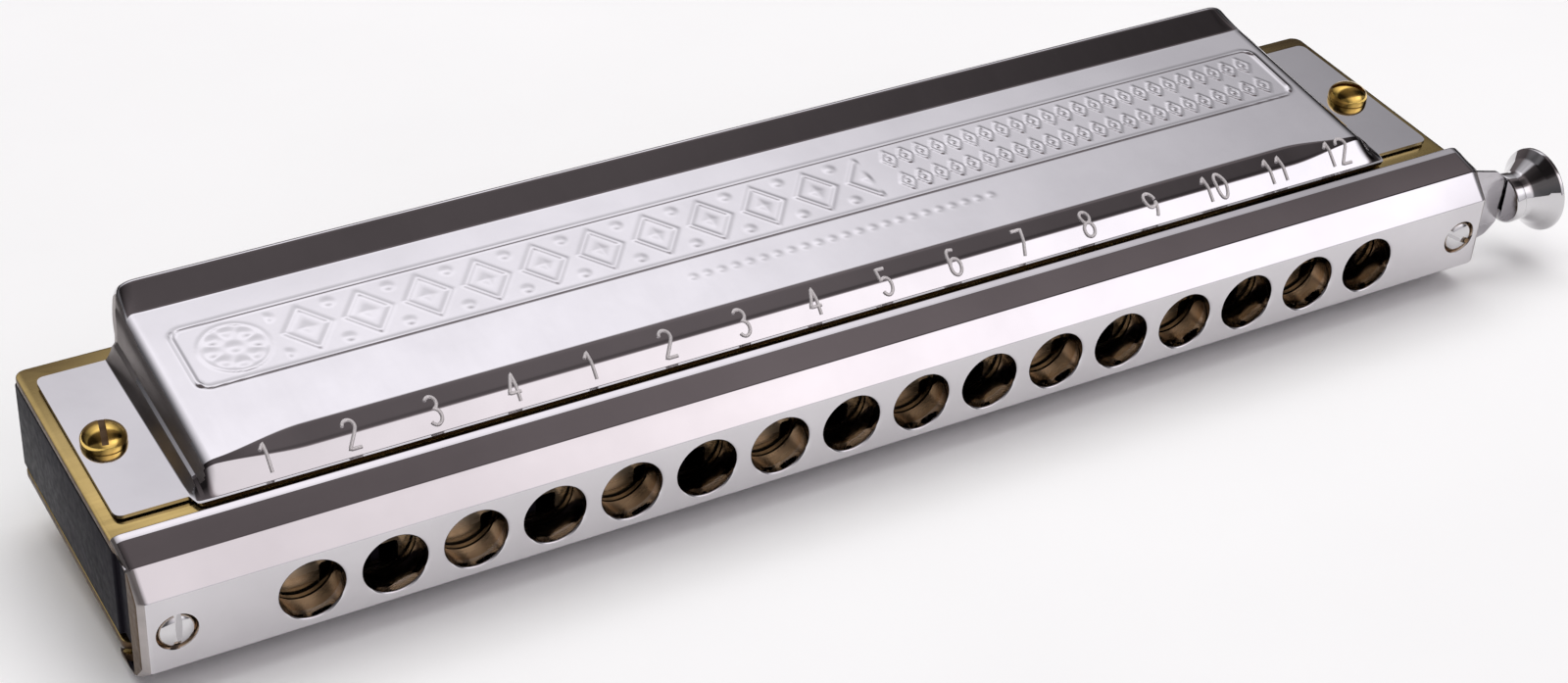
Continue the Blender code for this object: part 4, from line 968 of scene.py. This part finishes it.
def cover_corners(x):
    """Corners of the section at a place along the cover: towards its ends the front shoulder
    draws together, so that its dark band runs out to a point."""
    share = smooth_step((abs(x) - TAPER_START) / (WALL_TOP - TAPER_START))
    front_y = (14.6 - 1.55 * share) * MM
    crest_z = plateau_z(CREASE_Y) + (CREST_Y - CREASE_Y) * math.tan(math.radians(CREST_DEGREES))
    turned_down = min(max((abs(x) - 75.6 * MM) / (3.0 * MM), 0.0), 0.98)
    crest_z -= 2.2 * MM * (1 - math.sqrt(1 - turned_down * turned_down))
    return (
        (9.65 * MM, FLANGE_Z, 0.0),
        (10.0 * MM, FLANGE_Z, 0.15 * MM),
        ((12.0 + 0.55 * share) * MM, (9.75 + 0.48 * share) * MM, (1.6 - 1.25 * share) * MM),
        (front_y, plateau_z(front_y), (3.0 - 2.7 * share) * MM),
        (CREASE_Y, plateau_z(CREASE_Y), 1.4 * MM),
        (CREST_Y, crest_z, 0.7 * MM),
        (BACK_Y, crest_z - 1.4 * MM, 1.2 * MM),
        (BACK_Y, SKIRT_Z, 0.0),
    )


def section_plan(spacing):
    """How many pieces each step of the section is cut into, the same at every place along X."""
    points = rounded_path(cover_corners(0.0), FOLD_STEPS)
    gaps = [(after - before).length for before, after in zip(points, points[1:])]
    return [max(1, math.ceil(gap / spacing)) if gap > 0.9 * MM else 1 for gap in gaps]


def flange_edges(x):
    """Front and rear edge of the flange, drawn in round its corners."""
    past_corner = max(0.0, abs(x) - (FLANGE_END - FLANGE_CORNER))
    inset = FLANGE_CORNER - math.sqrt(max(0.0, FLANGE_CORNER ** 2 - past_corner ** 2))
    return FLANGE_Y[0] + inset, FLANGE_Y[1] - inset


def section_points(x, height_share, plan):
    """Outer face of the cover at a place along it, from foot to skirt, in (y, z)."""
    points = rounded_path(cover_corners(x), FOLD_STEPS)
    rows = [points[0]]
    for before, after, pieces in zip(points, points[1:], plan):
        rows += [before.lerp(after, piece / pieces) for piece in range(1, pieces + 1)]
    front, rear = flange_edges(x)
    front_share = 1 - (1 - height_share) ** 14
    rear_share = height_share ** 3
    section = []
    for point in rows:
        across = (point.x - rows[0].x) / (rows[-1].x - rows[0].x)
        flat_y = front + (rear - front) * across
        width_share = front_share + (rear_share - front_share) * across
        y = flat_y + (point.x - flat_y) * width_share
        section.append(Vector((y, FLANGE_Z + (point.y - FLANGE_Z) * height_share)))
    return section


def cover_stations(spacing):
    """Places along X with the share of the full height reached there, from right to left."""
    height = 4.0 * MM
    ledge_x = (WALL_FOOT + WALL_TOP) / 2
    corners = (
        (FLANGE_END, 0.0, 0.0),
        (FLANGE_END - FLANGE_CORNER, 0.0, 0.0),
        (WALL_FOOT, 0.0, 0.3 * MM),
        (ledge_x + 0.35 * MM, height * 0.40, 0.25 * MM),
        (ledge_x - 0.10 * MM, height * 0.47, 0.25 * MM),
        (WALL_TOP, height, 2.1 * MM),
        (0.0, height, 0.0),
    )
    path = rounded_path(corners, FOLD_STEPS)
    right = []
    for before, after in zip(path, path[1:]):
        in_corner = before.x > FLANGE_END - FLANGE_CORNER - 0.01 * MM
        longest = 0.15 * MM if in_corner else spacing if before.x <= WALL_TOP + 2 * MM else 0.8 * MM
        pieces = max(1, math.ceil((after - before).length / longest))
        points = [before.lerp(after, piece / pieces) for piece in range(pieces)]
        right += [(point.x, point.y / height) for point in points]
    return right + [(0.0, 1.0)] + [(-x, share) for x, share in reversed(right)]


def dome(distance, radius, height):
    """A smooth boss of that radius and height."""
    share = min(distance / radius, 1.0)
    return height * (1 - share * share) ** 1.5


def ridge(distance, half_width, height):
    """A smooth rib, seen across."""
    share = min(abs(distance) / half_width, 1.0)
    return height * (1 - share * share) ** 2


def peak(distance, half_width):
    """One in the middle of a band, falling evenly to nothing at its edges."""
    return max(0.0, 1 - abs(distance) / half_width)


def lozenge(dx, dy, half_x, half_y, height):
    """A diamond with a raised rim, a hollow ring and a raised heart."""
    reach = abs(dx) / half_x + abs(dy) / half_y
    if reach >= 1:
        return 0.0
    return height * (smooth_step(peak(reach - 0.82, 0.18)) + smooth_step(peak(reach, 0.42)))


def rosette(dx, dy, height):
    """Eight petals round a button."""
    distance = math.hypot(dx, dy)
    if distance > ROSETTE_RADIUS:
        return 0.0
    petal = abs(math.cos(4 * math.atan2(dy, dx))) * peak(distance - 2.7 * MM, 1.3 * MM)
    ring = peak(distance - 4.0 * MM, 0.3 * MM)
    return height * (smooth_step(petal) + 0.8 * smooth_step(ring)) + dome(distance, 1.1 * MM, height)


def panel_distance(x, y):
    """Distance outside the panel's rounded outline, negative inside it, and whether an end is nearest."""
    half_x = (PANEL_X[1] - PANEL_X[0]) / 2 - PANEL_CORNER
    half_y = (PANEL_Y[1] - PANEL_Y[0]) / 2 - PANEL_CORNER
    out_x = abs(x - sum(PANEL_X) / 2) - half_x
    out_y = abs(y - sum(PANEL_Y) / 2) - half_y
    outside = math.hypot(max(out_x, 0.0), max(out_y, 0.0))
    return outside + min(max(out_x, out_y), 0.0) - PANEL_CORNER, out_x > out_y


def from_nearest(x, start, pitch):
    """Distance from the nearest place of a row with that start and pitch, and the place's number."""
    place = round((x - start) / pitch)
    return x - start - place * pitch, place


def bead_row(x, y):
    """Small beads in front of the panel."""
    middle_x, middle_y = BEAD_ROW_MIDDLE
    if abs(y - middle_y) >= 1.1 * MM or not BEAD_ROW_X[0] < x < BEAD_ROW_X[1]:
        return 0.0
    dx, _ = from_nearest(x, middle_x, BEAD_PITCH)
    return dome(math.hypot(dx, y - middle_y), 0.75 * MM, 0.05 * MM)


def relief(x, y):
    """Height of the pressed ornament on the plateau: rosette, lozenges, two rows of leaves, frame."""
    if not PANEL_Y[0] - MM < y < PANEL_Y[1] + MM:
        return bead_row(x, y)
    dy = y - sum(PANEL_Y) / 2
    from_frame, at_end = panel_distance(x, y)
    raised = ridge(from_frame, 0.42 * MM, FRAME_RELIEF if at_end else RELIEF)
    if from_frame > -0.4 * MM:
        return raised
    raised += rosette(x - ROSETTE_X, dy, RELIEF)
    if LOZENGE_START - LOZENGE_PITCH / 2 < x < LOZENGE_END:
        dx, _ = from_nearest(x, LOZENGE_START, LOZENGE_PITCH)
        raised += lozenge(dx, dy, 3.4 * MM, 4.4 * MM, RELIEF)
        gap_x, _ = from_nearest(x, LOZENGE_START + LOZENGE_PITCH / 2, LOZENGE_PITCH)
        for bead_y in (-3.3 * MM, 3.3 * MM):
            raised += dome(math.hypot(gap_x, dy - bead_y), 0.95 * MM, RELIEF)
    leaf_x, leaf = from_nearest(x, LEAF_START, LEAF_PITCH)
    if 0 <= leaf < LEAF_COUNT:
        for row in (-2.35 * MM, 2.35 * MM):
            raised += lozenge(leaf_x, dy - row, 1.15 * MM, 1.9 * MM, 1.7 * RELIEF)
    return raised


def build_cover(name, side, materials, spacing):
    shape = bmesh.new()
    outer, inner = [], []
    plan = section_plan(spacing)
    for x, share in cover_stations(spacing):
        section = section_points(x, share, plan)
        # The inner sheet stands in from the sloping end walls as well.
        inner_x = x - math.copysign(SHEET * 0.62, x) if 0.02 < share < 0.995 else x
        outer_row, inner_row = [], []
        for place, (y, z) in enumerate(section):
            if share > 0.999:
                z += relief(x, y)
            along = (section[min(place + 1, len(section) - 1)] - section[max(place - 1, 0)]).normalized()
            outer_row.append(shape.verts.new((x, y, side * z)))
            inner_row.append(shape.verts.new((inner_x, y + along.y * SHEET, side * (z - along.x * SHEET))))
        outer.append(outer_row)
        inner.append(inner_row)
    columns = range(len(outer[0]) - 1)
    for rows in (outer, inner):
        for row, following in zip(rows, rows[1:]):
            for place in columns:
                shape.faces.new((row[place], following[place], following[place + 1], row[place + 1]))
    for end in (0, -1):
        over, under = outer[end], inner[end]
        for place in columns:
            shape.faces.new((over[place], over[place + 1], under[place + 1], under[place]))
        for station in range(len(outer) - 1):
            over, under = outer[station:station + 2], inner[station:station + 2]
            shape.faces.new((over[0][end], over[1][end], under[1][end], under[0][end]))
    cutter = bmesh.new()
    add_bolt_holes(cutter, sorted((side * (FLANGE_Z - 1.0 * MM), side * (FLANGE_Z + 0.5 * MM))), 32)
    item = make_piece(name + "_cover_sheet", shape, materials["cover_chrome"], [name + "_cover"],
                      cutter=cutter, sharp=38)
    # Painted shade: the sheet's front edge is dark brown, and the end walls get the darker chrome.
    add_material_where(item, materials["painted_shade_brown"], on_front_edge)
    add_material_where(item, materials["painted_shade_chrome"], on_end_wall)


# Painted shade: the front edge of the cover's sheet.
def on_front_edge(centre, normal):
    return normal.y < -0.9 and centre.y < 9.8 * MM and abs(centre.z) < FLANGE_Z


# Painted shade: the end walls above the flange.
def on_end_wall(centre, normal):
    above_flange = abs(centre.z) > FLANGE_Z + 0.05 * MM
    return abs(normal.x) > 0.55 and abs(centre.x) > WALL_TOP - 0.6 * MM and above_flange


def surface_point(x, along):
    """A point on the upper cover's outer face at a distance along its section from the foot."""
    points = rounded_path(cover_corners(x), FOLD_STEPS)
    left = along
    for before, after in zip(points, points[1:]):
        gap = (after - before).length
        if left <= gap:
            return Vector((x, *before.lerp(after, left / max(gap, 1e-9))))
        left -= gap
    return Vector((x, *points[-1]))


def arc(centre, radius, start, end, steps):
    """Points of a drawn stroke along an arc, in degrees."""
    points = []
    for step in range(steps + 1):
        angle = math.radians(start + (end - start) * step / steps)
        points.append((centre[0] + radius[0] * math.cos(angle), centre[1] + radius[1] * math.sin(angle)))
    return points


def digit_strokes(digit):
    """Strokes of a plain numeral in a box one unit wide and two units high."""
    small = (0.5, 0.52)
    strokes = {
        0: [arc((0.5, 1.0), (0.5, 1.0), 90, 450, 24)],
        1: [[(0.15, 1.55), (0.55, 2.0), (0.55, 0.0)]],
        2: [arc((0.5, 1.5), (0.48, 0.5), 170, -30, 12) + [(0.02, 0.0), (1.0, 0.0)]],
        3: [arc((0.5, 1.52), (0.44, 0.48), 150, -90, 12) + arc(small, small, 90, -150, 14)[1:]],
        4: [[(0.72, 0.0), (0.72, 2.0), (0.0, 0.62), (1.0, 0.62)]],
        5: [[(0.92, 2.0), (0.15, 2.0), (0.1, 1.12)] + arc((0.5, 0.62), (0.5, 0.62), 120, -150, 16)],
        6: [[(0.85, 1.9)] + arc((0.5, 0.9), (0.5, 1.1), 100, 180, 8)
            + arc((0.5, 0.6), (0.5, 0.6), 180, 520, 22)],
        7: [[(0.0, 2.0), (1.0, 2.0), (0.4, 0.0)]],
        8: [arc((0.5, 1.5), (0.42, 0.48), -90, 270, 20), arc(small, small, 90, 450, 22)],
        9: [arc((0.5, 1.4), (0.5, 0.6), 0, 340, 20) + [(0.98, 1.2)]
            + arc((0.5, 1.1), (0.5, 1.1), 0, -60, 8)],
    }
    return strokes[digit]


def build_hole_numbers(material):
    """Raised hole numbers on the cover's front slope: the lowest octave's four, then one to twelve."""
    shape = bmesh.new()
    low, high = NUMBER_SPAN
    unit = (high - low) / 2
    width = 0.82 * unit
    advance = 1.45 * width
    for place, number in enumerate([1, 2, 3, 4, *range(1, 13)]):
        digits = str(number)
        start = NUMBER_START + NUMBER_PITCH * place - (len(digits) * advance - (advance - width)) / 2
        for order, digit in enumerate(digits):
            for stroke in digit_strokes(int(digit)):
                drawn = spaced_path([Vector(point) for point in stroke], 0.14)
                left = start + order * advance
                route = [surface_point(left + point.x * width, low + point.y * unit) for point in drawn]
                add_tube(shape, route, NUMBER_STROKE, 8)
    make_piece("hole_numbers", shape, material, sharp=50)


# Fasteners

def dome_profile(rim, rise, radius, steps):
    """Profile of a round top: from its summit down to its rim."""
    angles = [math.pi / 2 * (1 - step / steps) for step in range(steps + 1)]
    profile = [(rim + rise * math.sin(angle), radius * math.cos(angle)) for angle in angles]
    return [(rim + rise, 0.0)] + profile[1:]


def domed_head(seat, radius, height, side, bore, end, rim_share=0.3):
    """Profile of a slotted round head on its shank, from the dome's top to the shank's end."""
    rim = seat + side * height * rim_share
    profile = dome_profile(rim, side * height * (1 - rim_share), radius, 8)
    return profile + [(seat + side * 0.08 * MM, radius), (seat, radius - 0.1 * MM), (seat, bore), (end, bore)]


def add_slot(shape, centre, axis, turn, size):
    """A box for cutting a screw slot: width, length and depth along the axis, turned in degrees."""
    width, length, depth = size
    corners = bmesh.ops.create_cube(shape, size=1.0)["verts"]
    scale = (width, depth, length) if axis == "Y" else (width, length, depth)
    bmesh.ops.scale(shape, vec=scale, verts=corners)
    spin = Matrix.Rotation(math.radians(turn), 4, axis)
    bmesh.ops.transform(shape, matrix=Matrix.Translation(centre) @ spin, verts=corners)


def build_cover_bolts(materials):
    head = domed_head(BOLT_SEAT - 0.28 * MM, BOLT_HEAD_RADIUS, 2.1 * MM, 1, 1.0 * MM,
                      -BOLT_SEAT - 1.85 * MM, 0.22)
    slot_size = (0.75 * MM, 4 * BOLT_HEAD_RADIUS, 2.2 * MM)
    for name, x, turn in (("left", -BOLT_X, -12), ("right", BOLT_X, 50)):
        shape = bmesh.new()
        add_turned(shape, head, "Z", (x, BOLT_Y), 48)
        cutter = bmesh.new()
        add_slot(cutter, (x, BOLT_Y, BOLT_SEAT + 2.0 * MM), "Z", turn, slot_size)
        item = make_piece("cover_bolt_head_" + name, shape, materials["bolt_brass"],
                          ["cover_bolt_" + name], cutter=cutter)
        # Painted shade: the floor of the slot is dark brown.
        add_material_where(item, materials["painted_shade_brown"], on_slot_floor)
        nut = bmesh.new()
        add_prism(nut, around((x, BOLT_Y), NUT_RADIUS, 6, 6), "Z", -BOLT_SEAT - NUT_HEIGHT, -BOLT_SEAT)
        bore = bmesh.new()
        bore_span = (-BOLT_SEAT - 2 * MM, -BOLT_SEAT + MM)
        add_bore(bore, bore_span, BOLT_HOLE_RADIUS, "Z", (x, BOLT_Y), 32)
        make_piece("hexagon_nut_" + name, nut, materials["bolt_brass"], ["cover_nut_" + name],
                   cutter=bore, bevel=0.18 * MM)


# Painted shade: the floor of a bolt's slot.
def on_slot_floor(centre, normal):
    return normal.z > 0.98 and centre.z < BOLT_SEAT + 1.2 * MM


def build_mouthpiece_screws(material):
    profile = dome_profile(0.40 * MM, -0.8 * MM, SCREW_HEAD_RADIUS, 6)
    profile.append((0.55 * MM, SCREW_HEAD_RADIUS))
    profile += [(1.5 * MM, SCREW_SHANK_RADIUS), (SCREW_END, SCREW_SHANK_RADIUS)]
    slot_size = (0.8 * MM, 4 * SCREW_HEAD_RADIUS, 2.1 * MM)
    for name, x, turn in (("left", -SCREW_X, 6), ("right", SCREW_X, -60)):
        shape = bmesh.new()
        add_turned(shape, profile, "Y", (x, 0.0), 48)
        cutter = bmesh.new()
        add_slot(cutter, (x, -0.45 * MM, 0.0), "Y", turn, slot_size)
        make_piece("face_screw_" + name, shape, material, ["mouthpiece_screw_" + name],
                   cutter=cutter)


def build_plate_screws(name, side, material):
    seat = side * (PLATE_Z[1] + 0.3 * MM)
    profile = domed_head(seat, 1.1 * MM, 0.5 * MM, side, 0.5 * MM,
                         seat - side * PLATE_SCREW_LENGTH)
    slot_half = 0.17 * MM
    slot_y = (PLATE_SCREW_Y - 2 * MM, PLATE_SCREW_Y + 2 * MM)
    slot_z = sorted((seat + side * 0.2 * MM, seat + side * MM))
    for place, x in enumerate(plate_screw_places()):
        shape = bmesh.new()
        add_turned(shape, profile, "Z", (x, PLATE_SCREW_Y), 28)
        cutter = bmesh.new()
        add_box(cutter, (x - slot_half, x + slot_half), slot_y, slot_z)
        make_piece(f"{name}_plate_screw_{place + 1}", shape, material,
                   [f"{name}_reed_plate_screw_{place + 1}"], cutter=cutter)


# Studio

def build_floor():
    material, tree, shader = new_material("studio_floor")
    grain = noise(tree, object_coordinates(tree, EVEN), 12.0)
    colour = colour_between(tree, grain, (0.93, 0.93, 0.93), (0.96, 0.96, 0.96))
    tree.links.new(colour, shader.inputs["Base Color"])
    shader.inputs["Roughness"].default_value = 0.9
    shader.inputs["Specular IOR Level"].default_value = 0.0
    shape = bmesh.new()
    half = FLOOR_HALF
    corners = ((-half, -half, 0.0), (half, -half, 0.0), (half, half, 0.0), (-half, half, 0.0))
    shape.faces.new([shape.verts.new(corner) for corner in corners])
    floor = link_object("studio_floor", mesh_from(shape, "studio_floor"))
    floor.data.materials.append(material)
    floor.location.z = FLOOR_Z


def light_arch(tree, share, front_tint, stops):
    """Light round the object from the horizon behind it to the one in front.

    Each stop is (angle in degrees, level). The front light, from 129 to 148 degrees, has its own tint.
    """
    node = add_node(tree, "ValToRGB", {"Fac": share})
    ramp = node.color_ramp
    while len(ramp.elements) < len(stops):
        ramp.elements.new(0.5)
    for element, (angle, level) in zip(ramp.elements, stops):
        if 129 <= angle <= 148:
            tint = front_tint
        else:
            tint = BRIGHT_TINT if 35 <= angle <= 64 or angle > 148 else DIM_TINT
        element.position = angle / 180
        element.color = (*(level / BRIGHTEST * part for part in tint), 1.0)
    return node.outputs["Color"]


def blend_colours(tree, factor, first, second):
    node = add_node(tree, "Mix", {"Factor": factor})
    node.data_type = "RGBA"
    colours = [socket for socket in node.inputs if socket.type == "RGBA"]
    tree.links.new(first, colours[0])
    tree.links.new(second, colours[1])
    return [socket for socket in node.outputs if socket.type == "RGBA"][0]


def calculate(tree, operation, first, second):
    """Result of an operation on two sockets, or on a socket and a number."""
    node = add_node(tree, "Math", {0: first, 1: second})
    node.operation = operation
    return node.outputs["Value"]


def build_world():
    """Soft studio light from all round: a broad light behind that weakens towards the right, a
    broad light in front, a dark ceiling between them, and dark far sides."""
    world = bpy.data.worlds.new("studio")
    bpy.context.scene.world = world
    world.use_nodes = True
    tree = world.node_tree
    background = tree.nodes["Background"]
    source = add_node(tree, "TexCoord", {}).outputs["Generated"]
    sideways, depth, height = add_node(tree, "SeparateXYZ", {"Vector": source}).outputs
    full = (0.0, 1.0)
    share = map_range(tree, calculate(tree, "ARCTAN2", height, depth), (0.0, math.pi), full)
    left_arch = light_arch(tree, share, ROSY_TINT, (
        (0, 0.14), (24, 0.18), (35, 0.60), (44, 0.92), (50, 1.00), (53, 1.12), (56, 1.40), (60, 1.42),
        (64, 1.10), (68, 0.20), (74, 0.14), (83, 0.14), (92, 0.11), (112, 0.12), (122, 0.36),
        (129, 1.10), (148, 1.10), (162, 0.9), (180, 0.7),
    ))
    middle_arch = light_arch(tree, share, ROSY_TINT, (
        (0, 0.14), (24, 0.18), (35, 0.60), (44, 0.92), (50, 1.08), (55, 1.30), (60, 1.34), (64, 1.05),
        (68, 0.24), (74, 0.21), (79, 0.22), (83, 0.18), (88, 0.12), (92, 0.10), (112, 0.12),
        (122, 0.36), (129, 1.50), (148, 1.50), (162, 0.9), (180, 0.7),
    ))
    right_arch = light_arch(tree, share, BRIGHT_TINT, (
        (0, 0.06), (24, 0.08), (35, 0.25), (44, 0.39), (50, 0.45), (55, 0.54), (60, 0.56), (64, 0.44),
        (68, 0.12), (75, 0.17), (79, 0.15), (82, 0.05), (92, 0.02), (112, 0.04), (122, 0.30),
        (129, 1.62), (148, 1.62), (162, 0.9), (180, 0.7),
    ))
    near = blend_colours(tree, map_range(tree, sideways, LEFT_TO_MIDDLE, full), left_arch, middle_arch)
    colour = blend_colours(tree, map_range(tree, sideways, MIDDLE_TO_RIGHT, full), near, right_arch)
    left_fade = map_range(tree, sideways, LEFT_FADE, (0.12, 1.0))
    right_fade = map_range(tree, sideways, RIGHT_FADE, (1.0, 0.15))
    fade = calculate(tree, "MULTIPLY", left_fade, right_fade)
    tree.links.new(colour, background.inputs["Color"])
    tree.links.new(calculate(tree, "MULTIPLY", fade, BRIGHTEST), background.inputs["Strength"])


def build_lamp():
    """A wide soft lamp overhead that only matt surfaces answer to, which keeps the floor pale."""
    data = bpy.data.lights.new("floor_wash", "AREA")
    data.shape = "RECTANGLE"
    data.size = data.size_y = LAMP_SIDE
    data.energy = LAMP_POWER
    lamp = link_object("floor_wash", data)
    lamp.location = LAMP_PLACE
    facing = Vector(LAMP_AIM) - Vector(LAMP_PLACE)
    lamp.rotation_euler = facing.to_track_quat("-Z", "Y").to_euler()
    lamp.visible_glossy = False


def build_camera():
    data = bpy.data.cameras.new("photo_camera")
    data.sensor_width = 36.0
    data.lens = 67.086
    data.shift_x = 0.00066
    data.shift_y = -0.00111
    data.clip_start = 0.01
    camera = link_object("photo_camera", data)
    camera.location = (-0.162065, -0.271479, 0.187642)
    camera.rotation_euler = [math.radians(angle) for angle in (60.05215, 0.35049, -29.711621)]
    bpy.context.scene.camera = camera


def main():
    materials = make_materials()
    build_mouthpiece(materials)
    build_cage(materials["cage_metal"])
    build_back_plate(materials["cage_metal"])
    build_slide(materials)
    build_button(materials["turned_chrome"])
    build_bumpers(materials["bumper_rubber"])
    build_spring(materials["spring_wire"])
    build_comb(materials["comb_plastic"])
    for name, side in (("upper", 1), ("lower", -1)):
        build_reed_plate(name, side, materials)
        build_plate_screws(name, side, materials["bolt_brass"])
    build_cover("upper", 1, materials, 0.25 * MM)
    build_cover("lower", -1, materials, 0.5 * MM)
    build_hole_numbers(materials["number_satin"])
    build_cover_bolts(materials)
    build_mouthpiece_screws(materials["turned_chrome"])
    build_floor()
    build_world()
    build_lamp()
    build_camera()
    bpy.context.scene.view_settings.view_transform = "Standard"


main()
